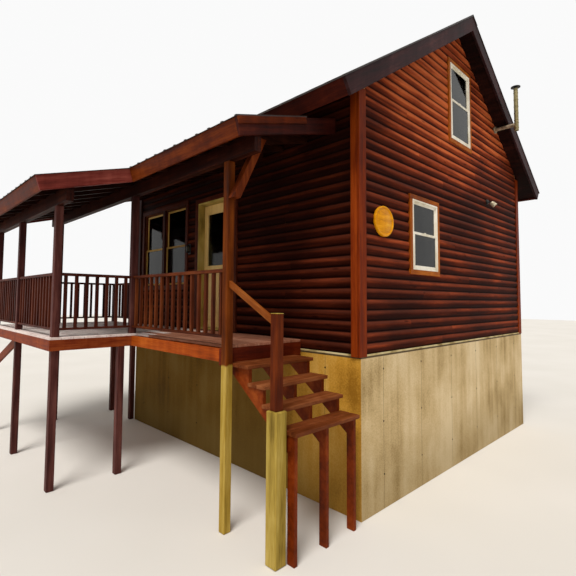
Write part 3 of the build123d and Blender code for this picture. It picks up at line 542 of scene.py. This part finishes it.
eaves = ((eave_x, 1), (house - eave_x, -1))
rake_wide, past_ridge = 235 * slope_c, 3700
bm = bmesh.new()
for edge, side in eaves:
    foot = below_roof(edge, rake_wide / 2, -rake_out - board_t / 2)
    top = (foot[0] + side * past_ridge, foot[1], foot[2] + past_ridge * rise)
    made = set_board(bm, foot, top, roof_lean(side), rake_wide, board_t)
    cut_board(bm, made, (ridge_x - side * 0.7, 0, 0), Vector((side, 0, 0)))
repeat_behind(bm)
weathered = wood("weathered_rake_board", tones((30, 18, 18), (55, 34, 35), (84, 57, 56)),
                 (1, 12, 12))
put(bm, "rake_boards", "cabin", weathered, "brown_wood", "rake_fascias")

eave_stain = wood("eave_board_stain", tones((34, 12, 8), (62, 22, 13), (92, 38, 21)))
bm = bmesh.new()
eave_wide = 227 * slope_c
for edge, side in eaves:
    middle = edge + side * board_t * slope_c / 2
    for y0, y1 in ((-rake_out, house / 2 - 1), (house / 2 + 1, house + rake_out)):
        set_board(bm, below_roof(middle, eave_wide / 2, y0), below_roof(middle, eave_wide / 2, y1),
                  roof_lean(side), eave_wide, board_t)
put(bm, "eave_boards", "cabin", eave_stain, "brown_wood", "eave_fascias")


def turned(bm, profile, place, steps=28, phase=0.0):
    # a shape turned round its own Z: pairs of radius and height in millimetres
    rings = []
    for radius, up in profile:
        ring = []
        for i in range(steps):
            turn = phase + 2 * pi * i / steps
            point = Vector((radius * cos(turn), radius * sin(turn), up))
            ring.append(bm.verts.new(place @ point))
        rings.append(ring)
    for a, b in zip(rings, rings[1:]):
        for i in range(steps):
            j = (i + 1) % steps
            bm.faces.new((a[i], a[j], b[j], b[i]))
    bm.faces.new(rings[0][::-1])
    bm.faces.new(rings[-1])


def stand(point, way=(0, 0, 1)):
    # millimetres, with the turned axis pointing along way
    turn = Vector(way).to_track_quat("Z", "Y").to_matrix().to_4x4()
    return Matrix.Translation(at(*point)) @ turn @ Matrix.Scale(0.001, 4)


def dusty(name, grain, low, high, rough, spread=0.3, **fixed):
    # an even coat under dust: the scale and detail of the dust, then two stops
    made, shader, place = new_finish(name, **fixed)
    dust = place.noise((grain[0],) * 3, grain[1])
    colour = dust.ramp((low[0], paint(*low[1])), (high[0], paint(*high[1])))
    wear_in(shader, colour, rough + spread * dust)
    return made


roof_screw = dusty("roof_screw_paint", (30, 3.0), (0.35, (50, 40, 36)), (0.65, (104, 92, 84)), 0.4,
                   Metallic=0.4)
screw, screw_up = ((9, -1), (9, 1.6), (5.5, 1.8), (5.5, 6)), 5
bm = bmesh.new()
for side in (1, -1):
    for i in range(26):
        for k in range(6):
            x = ridge_x - side * (270 + 590 * k)
            point = below_roof(x, -screw_up, -150 + i * rib_pitch)
            turned(bm, screw, stand(point, roof_lean(side)), 6)
put(bm, "roof_screws", "cabin", roof_screw, "roof_metal")

# Gable windows
# White single-hung units that stand a little proud of the orange-brown boards
# round them: an outer frame, a top sash set back and a bottom sash in front of
# it. The panes of all windows are one piece.
vinyl, shader, place = new_finish("white_vinyl", Specular_IOR_Level=0.2)
dust = place.noise((5, 5, 3), 5.0)
wear_in(shader, dust.ramp((0.3, paint(220, 210, 186)), (0.55, paint(248, 243, 230))),
        0.3 + 0.2 * dust, dust, 0.0004, 0.3)
pane = dusty("window_pane", (3, 4.0), (0.3, (62, 60, 44)), (0.7, (88, 86, 68)), 0.02, 0.06,
             Transmission_Weight=1.0, IOR=1.3)
dress(pane, "door_glass")
orange_trim = wood("orange_trim", tones((108, 50, 12), (154, 80, 20), (190, 112, 42)))


def trim_round(bm, opening, wide, depth0, depth1, along, ease=0.003):
    # four boards outside the opening, on a gable (x) or on the porch wall (y)
    s0, s1, z0, z1 = opening
    parts = (((s0 - wide, z1), (s1 + wide, z1 + wide), along),
             ((s0 - wide, z0 - wide), (s1 + wide, z0), along),
             ((s0 - wide, z0 + 0.5), (s0, z1 - 0.5), "z"),
             ((s1, z0 + 0.5), (s1 + wide, z1 - 0.5), "z"))
    for (sa, za), (sb, zb), way in parts:
        if along == "x":
            level_board(bm, (sa, depth0, za), (sb, depth1, zb), way, ease)
        else:
            level_board(bm, (depth0, sa, za), (depth1, sb, zb), way, ease)


def shrink(opening, wide):
    s0, s1, z0, z1 = opening
    return s0 + wide, s1 - wide, z0 + wide, z1 - wide


bm = bmesh.new()
for opening in (low_window, high_window):
    trim_round(bm, opening, gable_trim_w, trim_front, trim_back, "x")
repeat_behind(bm)
put(bm, "gable_trim_boards", "cabin", orange_trim, "orange_trim", "window_trim")
jamb_w, sash_w = 24, 34
bm = bmesh.new()
for s0, s1, z0, z1 in (low_window, high_window):
    mid, latch_s = (z0 + z1) / 2, (s0 + s1) / 2
    trim_round(bm, shrink((s0, s1, z0, z1), jamb_w), jamb_w, -14, 79, "x")
    for low, high, front, back in ((mid - 34, z1 - jamb_w, 8, 36), (z0 + jamb_w, mid + 38, -8, 20)):
        sash = (s0 + jamb_w, s1 - jamb_w, low, high)
        trim_round(bm, shrink(sash, sash_w), sash_w, front, back, "x")
    level_board(bm, (latch_s - 22, -6, mid + 38), (latch_s + 22, 6, mid + 50), "x", 0.002)
repeat_behind(bm)
put(bm, "vinyl_windows", "cabin", vinyl, "white_vinyl", "gable_window_frames")
pane_in, pane_t, pane_ease = 52, 5, 0.001
bm = bmesh.new()
for s0, s1, z0, z1 in (low_window, high_window):
    mid = (z0 + z1) / 2
    for low, high, front in ((mid - 8, z1 - pane_in, 16), (z0 + pane_in, mid + 12, 1)):
        level_board(bm, (s0 + pane_in, front, low), (s1 - pane_in, front + pane_t, high), "x",
                    pane_ease)
repeat_behind(bm)
s0, s1, z0, z1 = porch_window
cross, middle = (z0 + z1) / 2, (s0 + s1) / 2
for a, b in ((s0 + 50, middle - 75), (middle + 75, s1 - 50)):
    for low, high, front in ((cross + 12, z1 - 50, 72), (z0 + 50, cross - 12, 52)):
        level_board(bm, (front, a, low), (front + pane_t, b, high), "y", pane_ease)
put(bm, "window_panes", "cabin", pane, "glass", "window_glass")

# Porch window and door
# A double wooden window in dark trim boards. The door has a glass upper half
# and one panel below it, in a tan jamb with dark casing.
dark_trim = wood("dark_trim", tones((40, 17, 11), (72, 31, 18), (106, 52, 28)))
bm = bmesh.new()
trim_round(bm, porch_window, trim_w, trim_front, trim_back, "y")
level_board(bm, (-4, middle - 42, z0), (trim_back, middle + 42, z1), "z")
put(bm, "porch_window_trim", "cabin", dark_trim, "orange_trim")
sash_wood = wood("sash_wood", tones((130, 96, 46), (190, 150, 80), (220, 184, 116)))
box_w, box_front, box_back = 20, 31, 109
bm = bmesh.new()
for a, b in ((s0 + box_w, middle - 45), (middle + 45, s1 - box_w)):
    for low, high, front, back in ((cross - 18, z1 - box_w, 60, 90),
                                   (z0 + box_w, cross + 18, 38, 74)):
        trim_round(bm, shrink((a, b, low, high), sash_w), sash_w, front, back, "y", 0.004)
put(bm, "porch_window_sashes", "cabin", sash_wood, "orange_trim", "porch_window_frame")
bm = bmesh.new()
for a, b in ((s0, middle - 25), (middle + 25, s1)):
    trim_round(bm, shrink((a, b, z0, z1), box_w), box_w, box_front, box_back, "y")
level_board(bm, (box_front, middle - 24.5, z0), (box_back, middle + 24.5, z1), "z")
put(bm, "porch_window_box", "cabin", dark_trim, "orange_trim")

tan, shader, place = new_finish("tan_door_paint", Specular_IOR_Level=0.3)
scuff = place.noise((3, 3, 1.2), 6.0)
brush = place.noise((60, 60, 4), 3.0)
colour = (scuff * 0.7 + brush * 0.3).ramp(
    (0.34, paint(190, 150, 82)), (0.5, paint(236, 198, 124)), (0.68, paint(246, 218, 152)))
wear_in(shader, colour, 0.35 + 0.3 * scuff, brush, 0.0006, 0.4)
dress(tan, "door_leaf")
jamb_paint, shader, place = new_finish("olive_jamb_paint", Specular_IOR_Level=0.3)
scuff = place.noise((4, 4, 1.5), 6.0)
wear_in(shader, scuff.ramp((0.34, paint(120, 98, 42)), (0.5, paint(176, 150, 74)),
                           (0.68, paint(200, 178, 108))), 0.4 + 0.3 * scuff, scuff, 0.0008, 0.4)
dress(jamb_paint, "door_frame")
f0, f1, foot, head = door_way
door_mid = (f0 + f1) / 2
mould_front, door_face = 98, 108
bm = bmesh.new()
for half, low, high, wide in ((348, 1172, 2033, 20), (326, 300, 1010, 22)):
    opening = (door_mid - half, door_mid + half, low, high)
    trim_round(bm, opening, wide, mould_front, door_face, "y")
level_board(bm, (101, door_mid - 290, 336), (door_face, door_mid + 290, 974), "z", 0.004)
put(bm, "door_mouldings", "door", tan, "door_tan")
case_front, case_back, case_ease = -14, -10, 0.0015
bm = bmesh.new()
for a, b in ((f0 - trim_w, f0 + 6), (f1 - 6, f1 + trim_w)):
    level_board(bm, (case_front, a, foot), (case_back, b, head), "z", case_ease)
level_board(bm, (case_front, f0 - trim_w, head + 0.5), (case_back, f1 + trim_w, head + trim_w), "y",
            case_ease)
for s in (f0 - trim_w - 6.5, f1 + trim_w + 0.5):
    level_board(bm, (case_front, s, foot), (24, s + 6, head + trim_w), "z", case_ease)
put(bm, "door_casing", "cabin", dark_trim, "door_tan")

# Porch roof edge
# Boards round the porch roof, cut square to its slope: dark on the near rake
# with a second thin board on it, red on the wide part's rakes, and brown on
# the eaves. Then the screws in its ribbed sheets.
porch_rise, porch_top, porch_ref = 0.29, 2660, 553
porch_near, porch_step, porch_far = 400, 2730, 6960
porch_c = cos(atan(porch_rise))
porch_s = porch_rise * porch_c
porch_lean = Vector((-porch_s, 0, porch_c))


def below_porch(x, depth, y):
    # square down from the top of the porch roof boards
    return x + depth * porch_s, y, porch_top + porch_rise * (x + porch_ref) - depth * porch_c


porch_wide, thin_wide = 190 * porch_c, 74
narrow_edge, wide_edge = -1508, -2638


def porch_board(bm, start, end, wide=porch_wide, thick=board_t):
    # along the roof's edge, from one place on its top to another
    return set_board(bm, below_porch(start[0], wide / 2, start[1]),
                     below_porch(end[0], wide / 2, end[1]), porch_lean, wide, thick)


porch_dark = wood("porch_rake_stain", tones((34, 14, 11), (62, 26, 20), (94, 44, 32)))
near_y = porch_near - board_t / 2
bm = bmesh.new()
made = porch_board(bm, (narrow_edge, near_y), (60, near_y))
cut_board(bm, made, (10, 0, 0), Vector((1, 0, 0)))
put(bm, "porch_rake_board", "cabin", porch_dark, "brown_wood", "porch_fascias")
porch_red = wood("wide_rake_stain", tones((64, 26, 23), (110, 48, 42), (148, 78, 68)))
bm = bmesh.new()
for x, y in ((narrow_edge, porch_step - board_t / 2), (-515, porch_far + board_t / 2)):
    porch_board(bm, (wide_edge, y), (x, y))
put(bm, "wide_rake_boards", "cabin", porch_red, "brown_wood")
porch_bright = wood("porch_eave_stain", tones((50, 20, 8), (90, 38, 14), (128, 62, 26)))
bm = bmesh.new()
joint = (porch_step + porch_far) / 2
for edge, y0, y1 in ((narrow_edge, porch_near, porch_step), (wide_edge, porch_step, joint - 1),
                     (wide_edge, joint + 1, porch_far)):
    middle = edge + board_t * porch_c / 2
    porch_board(bm, (middle, y0), (middle, y1))
porch_board(bm, (narrow_edge, 352), (-540, 352), thin_wide, 20)
put(bm, "porch_eave_boards", "cabin", porch_bright, "brown_wood")
bm = bmesh.new()
for i in range(29):
    y = porch_near + 30 + i * rib_pitch
    for x in range(-700, wide_edge, -360):
        if x > narrow_edge or y > porch_step + 30:
            turned(bm, screw, stand(below_porch(x, -screw_up, y), porch_lean), 6)
put(bm, "porch_roof_screws", "cabin", roof_screw, "roof_metal")

# Porch roof frame
# Dark rafters under the boards, on two header beams of two planks each. The
# headers' lines are those of the posts.
dress(wood("rafter_wood", tones((24, 12, 9), (44, 22, 15), (70, 38, 26)), source="place"),
      "porch_rafters")
header_wood = wood("header_wood", tones((24, 10, 7), (46, 20, 13), (74, 36, 22)))
narrow_x, wide_x, post_half, header_high = -1200, -2237, 45, 185
bm = bmesh.new()
for x, low, y0 in ((narrow_x, 2120.4, porch_near + 2), (wide_x, 1819.7, porch_step)):
    for a, b in ((-post_half, -0.5), (0.5, post_half)):
        level_board(bm, (x + a, y0, low), (x + b, porch_far, low + header_high), "y")
put(bm, "porch_headers", "cabin", header_wood, "roof_wood", "porch_beams")

# Porch posts
# Square sawn posts. The near one is orange-brown, and its paint stops under
# the deck over yellow-green bare wood. The others are a dark copy of the paint,
# as painted shade: most reach the roof, two end at the rail and one is only
# under the deck.
post_top, outer_top, rail_high, deck_top, rim_low, ground_z = 2120, 1819, 948, 118, -52, -1800
near_at, step_at, inner_at = (narrow_x, 870), (narrow_x, 3143), (narrow_x, 6497)
outer_at = ((wide_x, 3143), (wide_x, 4940), (wide_x, 6497))
wall_at = ((-post_half, 5560), (-post_half, 6497))


def post(bm, middle, low, high):
    x, y = middle
    level_board(bm, (x - post_half, y - post_half, low), (x + post_half, y + post_half, high), "z",
                post_ease)


bare_wood = tones((116, 92, 34), (166, 136, 56), (196, 168, 90))
near_paint = wood("near_post_paint", tones((52, 23, 4), (92, 43, 8), (126, 65, 21)),
                  bare=(sill - 0.075, bare_wood))
# painted shade: a darker copy of the post paint for all posts but the near one
painted_shade_posts = wood("painted_shade_post_paint", tones((42, 23, 22), (78, 44, 41), (112, 70, 64)))
bm = bmesh.new()
post(bm, near_at, ground_z, post_top)
put(bm, "near_post", "cabin", near_paint, "orange_post", "porch_posts")
bm = bmesh.new()
post(bm, step_at, deck_top, post_top)
post(bm, (-1385, 3105), ground_z, rim_low)
for middle in outer_at:
    post(bm, middle, ground_z, outer_top)
post(bm, inner_at, ground_z, post_top)
for middle in wall_at:
    post(bm, middle, ground_z, rail_high)
put(bm, "dark_posts", "cabin", painted_shade_posts, "orange_post")
dress(wood("brace_wood", tones((64, 28, 14), (112, 50, 22), (150, 78, 38)), (14, 14, 1), "place"),
      "braces")

# Deck
# Weathered boards laid along the wall on a frame of rims and joists, redder
# beside the stairs; the rest are near white with painted sky glare. The narrow
# part's outer rim is a bright orange copy of the brown, as painted light, the
# near one a dark copy, as painted shade, and the others are brown.
# pale weathered boards; their near white is partly painted sky glare
deck_wood = wood("deck_wood", tones((196, 174, 170), (236, 220, 216), (248, 240, 236)),
                 (1, 12, 12), rough=0.65)
by_stairs_wood = wood("by_stairs_deck_wood", tones((108, 66, 50), (158, 104, 82), (190, 138, 114)),
                 (1, 12, 12), rough=0.65)
plank_w, plank_pitch, plank_low, planks, narrow_planks = 140, 145, 88, 16, 8
deck_near, wide_near, deck_far, wide_out = 915, 3060, 6580, -2320
bm = bmesh.new()
by_stairs = bmesh.new()
for i in range(planks):
    x0 = -5 - plank_pitch * i
    near = deck_near if i < narrow_planks else wide_near
    ends = (near, near + (1700 if i % 2 else 2300) + 100 * (i % 3), deck_far)
    for a, b in zip(ends, ends[1:]):
        level_board(by_stairs if a == deck_near else bm, (max(x0 - plank_w, wide_out), a + 1, plank_low),
                    (x0, b - 1, deck_top), "y")
put(bm, "deck_planks", "cabin", deck_wood, "deck_wood", "deck_boards")
put(by_stairs, "by_stairs_planks", "cabin", by_stairs_wood, "deck_wood")

deck_screw = dusty("deck_screw_steel", (60, 3.0), (0.35, (40, 30, 26)), (0.65, (92, 78, 70)), 0.4,
                   Metallic=0.6)
joists = [1515 + 600 * k for k in range(9)]
bm = bmesh.new()
for i in range(planks):
    x0 = -5 - plank_pitch * i
    for y in joists + [934]:
        if i < narrow_planks or y > wide_near:
            for x in (x0 - 28, x0 - 112):
                turned(bm, ((4, -1), (4, 0.3), (2, 0.5)), stand((x, y, deck_top)), 6)
put(bm, "deck_screws", "cabin", deck_screw, "deck_wood")

rim_brown = wood("rim_brown", tones((64, 26, 14), (116, 48, 24), (156, 78, 40)))
rim_top, rim_in = 87.5, -1207
bm = bmesh.new()
for x0, y0, x1, y1, way in (
        (wide_out, wide_near, rim_in, wide_near + board_t, "x"),
        (wide_out, wide_near + board_t, wide_out + board_t, deck_far, "y"),
        (-board_t, deck_near + board_t, 0, deck_far - board_t, "y"),
        (wide_out + board_t, deck_far - board_t, 0, deck_far, "x")):
    level_board(bm, (x0, y0, rim_low), (x1, y1, rim_top), way)
for y in joists:
    out = rim_in if y < 3188 else wide_out + board_t
    level_board(bm, (out, y - board_t / 2, rim_low), (-board_t, y + board_t / 2, 87), "x")
put(bm, "deck_joists", "cabin", rim_brown, "brown_wood", "deck_frame")
# painted shade: a dark copy of the rim stain for the near rim
painted_shade_rim = wood("painted_shade_rim", tones((48, 17, 8), (84, 29, 14), (118, 48, 24)))
stair_left, stair_right = -1130, -150
bm = bmesh.new()
level_board(bm, (rim_in - board_t, deck_near, -87), (0, deck_near + board_t, rim_top), "x")
level_board(bm, (stair_left, deck_near, -160), (stair_right, deck_near + board_t, -88), "x")
put(bm, "near_rim", "cabin", painted_shade_rim, "brown_wood")
# painted light: a bright orange copy of the rim stain for the narrow rim, which faces the light
painted_light_rim = wood("painted_light_rim", tones((94, 38, 10), (154, 68, 20), (190, 98, 38)))
bm = bmesh.new()
level_board(bm, (rim_in - board_t, deck_near + board_t + 0.5, rim_low),
            (rim_in, wide_near - 0.5, rim_top), "y")
put(bm, "narrow_rim", "cabin", painted_light_rim, "brown_wood")

# Railings
# Square balusters between two rails, all in brown paint that has dulled, from
# one post to the next. The wide porch's railing is a darker copy, as painted
# shade.
rail_wood = wood("rail_wood", tones((44, 20, 12), (84, 40, 22), (122, 66, 36)))
# painted shade: a darker copy of the rail paint for the wide railing
painted_shade_rail = wood("painted_shade_rail", tones((38, 18, 14), (70, 32, 23), (102, 54, 38)))
rail_base, rail_half, square_half, board_ease = 203, 30, 19, 0.004


def railing(bm, start, end, pitch=123):
    # from one post to the next, along X or along Y
    (xa, ya), (xb, yb) = start, end
    along_x = ya == yb
    if along_x:
        xa, xb = xa + post_half, xb - post_half
    else:
        ya, yb = ya + post_half, yb - post_half
    for low, high in ((rail_high - 38, rail_high), (rail_base, rail_base + 30)):
        if along_x:
            level_board(bm, (xa, ya - rail_half, low), (xb, ya + rail_half, high), "x", board_ease)
        else:
            level_board(bm, (xa - rail_half, ya, low), (xa + rail_half, yb, high), "y", board_ease)
    span = xb - xa if along_x else yb - ya
    count = int(span / pitch)
    for i in range(count):
        step = (i + 0.5) * span / count
        x, y = (xa + step, ya) if along_x else (xa, ya + step)
        level_board(bm, (x - square_half, y - square_half, rail_base + 28),
                    (x + square_half, y + square_half, rail_high - 36), "z", 0.002)


bm = bmesh.new()
railing(bm, near_at, step_at, 143)
put(bm, "narrow_railing", "cabin", rail_wood, "rail_wood", "railing_narrow")
bm = bmesh.new()
for start, end in ((outer_at[0], step_at), (outer_at[0], outer_at[1]), (outer_at[1], outer_at[2]),
                   (outer_at[2], inner_at), (inner_at, wall_at[1]), wall_at):
    railing(bm, start, end)
put(bm, "wide_railing", "cabin", painted_shade_rail, "rail_wood", "railing_wide")

# Stairs
# Four open treads of two planks each on three sawn stringers, a square newel
# on a pier, and one sloped handrail from the near post to the newel.
tread_wood = wood("tread_wood", tones((70, 34, 16), (110, 58, 31), (146, 90, 56)), (1, 12, 12))
riser, going, tread_deep = 180, 220, 260
bm = bmesh.new()
for k in range(4):
    front = 570 - going * k
    top = deck_top - riser * (k + 1)
    left, back = (-1155, 890) if k == 0 else (stair_left, front + tread_deep)
    middle = (front + back) / 2
    for a, b in ((front, middle - 3), (middle + 3, back)):
        level_board(bm, (left, a, top - board_t), (stair_right, b, top), "x", board_ease)
put(bm, "tread_planks", "cabin", tread_wood, "deck_wood", "stair_treads")
dress(wood("stringer_wood", tones((66, 25, 8), (114, 47, 16), (152, 76, 33)), (5, 3, 3), "place"),
      "stair_stringers")

newel_wood = wood("newel_wood", tones((44, 17, 5), (78, 31, 8), (112, 51, 20)))
newel_low, newel_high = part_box("stair_newel")
pier_x = ((newel_low.x + newel_high.x) / 2 - footing_low.x) * 1000
pier_y, pier_half, pier_top, newel_top = 100, 70, -415, 484
bm = bmesh.new()
post(bm, (pier_x, pier_y), pier_top, newel_top)
put(bm, "newel", "cabin", newel_wood, "orange_post", "stair_newel")
bare_pier = wood("bare_pier", tones((110, 90, 36), (168, 142, 66), (200, 176, 100)), (1, 12, 12))
bm = bmesh.new()
level_board(bm, (pier_x - post_half, pier_y - post_half, newel_top),
            (pier_x + post_half, pier_y + post_half, newel_top + 6), "x")
level_board(bm, (pier_x - pier_half, pier_y - pier_half, ground_z),
            (pier_x + pier_half, pier_y + pier_half, pier_top), "z", 0.008)
put(bm, "newel_pier", "cabin", bare_pier, "orange_post")

hand_wood = wood("handrail_wood", tones((78, 37, 12), (122, 63, 24), (156, 94, 46)))
hand_high, hand_low, hand_v, spare = 816, 446, 72, 90
hand_start, hand_end = pier_y + post_half, near_at[1] - post_half
steep = (hand_high - hand_low) / (hand_end - hand_start)
low_end = (pier_x, hand_start - spare, hand_low - hand_v / 2 - spare * steep)
high_end = (pier_x, hand_end + spare, hand_high - hand_v / 2 + spare * steep)
bm = bmesh.new()
made = set_board(bm, low_end, high_end, (0, 0, 1), hand_v * cos(atan(steep)), board_t, board_ease)
made = cut_board(bm, made, (0, hand_start, 0), Vector((0, -1, 0)))
cut_board(bm, made, (0, hand_end, 0), Vector((0, 1, 0)))
put(bm, "handrail_board", "cabin", hand_wood, "rail_wood", "handrail")

# Fittings on the walls
# Round varnished plaque left bare, flood light, porch lantern and stovepipe,
# mostly turned shapes.
plaque_wood = wood("plaque_varnish", tones((190, 116, 10), (238, 160, 24), (250, 196, 66)),
                   (2, 2, 14), "place", rough=0.35)
bm = bmesh.new()
rim = ((187, 0), (187, 20), (183, 26), (176, 30), (169, 30), (164, 27), (162, 23), (160, 23),
       (154, 24), (150, 22), (146, 24), (6, 24.5))
turned(bm, rim, stand((486, 9, 1576), (0, -1, 0)) @ Matrix.Diagonal((1.1, 1.0, 1.0, 1.0)), 64)
soften(put(bm, "round_plaque", "cabin", plaque_wood, "plaque_wood", "plaque"))

black_iron = dusty("black_iron", (40, 4.0), (0.35, (18, 16, 16)), (0.6, (44, 40, 38)), 0.35,
                   Metallic=0.5)
lamp_metal = dusty("lamp_housing", (30, 4.0), (0.35, (150, 138, 112)), (0.6, (206, 196, 170)), 0.3,
                   Metallic=0.3)
bm = bmesh.new()
turned(bm, ((44, -14), (44, 4), (38, 12), (20, 16), (10, 18)), stand((3832, -6, 2370), (0, -1, 0)),
       24)
turned(bm, ((9, 0), (9, 60), (13, 62), (13, 70)), stand((3836, -20, 2366), (0.5, -0.7, -0.2)), 12)
soften(put(bm, "flood_mount", "cabin", black_iron, "lamp"))
bm = bmesh.new()
turned(bm, ((18, 0), (30, 6), (38, 24), (42, 52), (46, 78), (46, 90), (40, 92), (34, 86), (4, 84)),
       stand((3862, -58, 2362), (0.35, -0.6, -0.72)))
soften(put(bm, "flood_head", "cabin", lamp_metal, "lamp", "flood_light"))

lamp_x, lamp_y, lamp_z = -40, 3560, 1480
bm = bmesh.new()
level_board(bm, (-9, lamp_y - 38, lamp_z - 88), (9, lamp_y + 38, lamp_z + 88), "z", 0.005)
level_board(bm, (lamp_x, lamp_y - 6, lamp_z + 62), (-9, lamp_y + 6, lamp_z + 74), "x", 0.002)
box = stand((lamp_x, lamp_y, lamp_z))
turned(bm, ((22, -62), (36, -58), (36, -50), (30, -46), (30, -44)), box, 4, pi / 4)
turned(bm, ((46, 40), (46, 46), (14, 66), (6, 74)), box, 4, pi / 4)
for dx, dy in ((-1, -1), (-1, 1), (1, -1), (1, 1)):
    x, y = lamp_x + 23 * dx, lamp_y + 23 * dy
    level_board(bm, (x - 3, y - 3, lamp_z - 46), (x + 3, y + 3, lamp_z + 42), "z", 0.001)
put(bm, "porch_lantern", "cabin", black_iron, "dark_metal", "wall_lamp")
bm = bmesh.new()
turned(bm, ((26, -44), (30, -20), (30, 20), (26, 40)), box, 4, pi / 4)
frosted = dusty("lantern_glass", (40, 3.0), (0.3, (76, 68, 48)), (0.7, (112, 102, 76)), 0.25, 0.2,
                Transmission_Weight=0.5)
put(bm, "lantern_glass", "cabin", frosted, "dark_metal")

pipe_x, pipe_y = 4300, -370
galvanised, shader, place = new_finish("galvanised_pipe", Metallic=0.6)
spangle = place.noise((40, 40, 40), 4.0)
soot = place.noise((6, 6, 2), 4.0)
# painted reflection: the warm yellow in the grey of the zinc
colour = (spangle * 0.5 + soot * 0.5).ramp(
    (0.36, paint(82, 74, 50)), (0.5, paint(128, 116, 80)), (0.64, paint(166, 154, 116)))
wear_in(shader, colour, 0.36 + 0.3 * spangle)
pipe_r, band_r, pipe_top = 36, 40, 4470
pipe = [(20, 3690), (pipe_r, 3692)]
for z in (3745, 3830, 3885, 4010, 4135, 4260, 4385):
    pipe += [(pipe_r, z - 8), (band_r, z - 4), (band_r, z + 4), (pipe_r, z + 8)]
pipe += [(pipe_r, pipe_top), (22, pipe_top)]
bm = bmesh.new()
turned(bm, pipe, stand((pipe_x, pipe_y, 0)))
soften(put(bm, "stovepipe_riser", "cabin", galvanised, "galvanised", "stovepipe"))
bm = bmesh.new()
turned(bm, ((15, 4465), (15, 4486), (70, 4488), (79, 4490), (79, 4500), (40, 4516), (8, 4524)),
       stand((pipe_x, pipe_y, 0)))
soften(put(bm, "stovepipe_cap", "cabin", black_iron, "galvanised"))
bm = bmesh.new()
arm = [(32, 0), (32, 40), (35, 43), (35, 52), (32, 55), (32, 200), (35, 203), (35, 212), (32, 215),
       (32, 350), (62, 352), (64, 356), (64, 370), (30, 380)]
turned(bm, arm, stand((pipe_x, pipe_y, 3805), (0, 1, 0)))
arm_paint = dusty("arm_paint", (14, 4.0), (0.36, (112, 98, 78)), (0.62, (168, 152, 128)), 0.4,
                  Metallic=0.3)
soften(put(bm, "stovepipe_arm", "cabin", arm_paint, "galvanised"))

# Camera, light and floor
# The camera stands where the photographer stood, and the light is plain and
# soft over a pale floor.
sight = bpy.data.cameras.new("sight")
sight.sensor_fit = "HORIZONTAL"
sight.sensor_width = 36.0
sight.lens = 26.62
sight.shift_x = 0.0158
sight.shift_y = -0.0234
camera = bpy.data.objects.new("camera", sight)
bpy.context.collection.objects.link(camera)
forward = Vector((0.69324, 0.71827, 0.05923)).normalized()
side = forward.cross(Vector((0, 0, 1))).normalized()
up = side.cross(forward)
roll = radians(0.40)
across = cos(roll) * side + sin(roll) * up
upright = cos(roll) * up - sin(roll) * side
turn = Matrix((across, upright, -forward)).transposed().to_4x4()
camera.matrix_world = Matrix.Translation(at(-3990, -2810, 616)) @ turn
bpy.context.scene.camera = camera
bpy.context.scene.view_settings.view_transform = "Standard"

world = bpy.data.worlds.new("plain_sky")
bpy.context.scene.world = world
world.use_nodes = True
tree = world.node_tree
sky = tree.nodes["Background"]
rays = Wire(tree).node("LightPath", {}, {}).socket.node
seen = Wire(tree, rays.outputs["Is Camera Ray"]) + Wire(tree, rays.outputs["Is Glossy Ray"])
seen = seen + Wire(tree, rays.outputs["Is Transmission Ray"])
seen = seen.math("MINIMUM", seen, 1.0)
tree.links.new(seen.mix(paint(238, 234, 226), paint(250, 250, 250)).socket, sky.inputs["Color"])
tree.links.new((0.45 + 0.55 * seen).socket, sky.inputs["Strength"])

lamp = bpy.data.lights.new("soft_sun", "SUN")
lamp.energy = 2.7
lamp.angle = radians(25)
lamp.color = (1.0, 0.95, 0.88)
sun = bpy.data.objects.new("soft_sun", lamp)
bpy.context.collection.objects.link(sun)
sun.matrix_world = Vector((-0.8, -0.4, 1.45)).to_track_quat("Z", "Y").to_matrix().to_4x4()

bm = bmesh.new()
bmesh.ops.create_grid(bm, x_segments=2, y_segments=2, size=60.0,
                      matrix=Matrix.Translation((0, 0, -0.002)))
mesh = bpy.data.meshes.new("floor_plane")
bm.to_mesh(mesh)
bm.free()
ground = bpy.data.objects.new("floor_plane", mesh)
bpy.context.collection.objects.link(ground)
pale, shader, place = new_finish("pale_floor", Roughness=0.9)
wear_in(shader, place.noise((0.4, 0.4, 0.4), 2.0).ramp((0.3, paint(224, 222, 218)),
                                                       (0.7, paint(230, 228, 225))))
mesh.materials.append(pale)
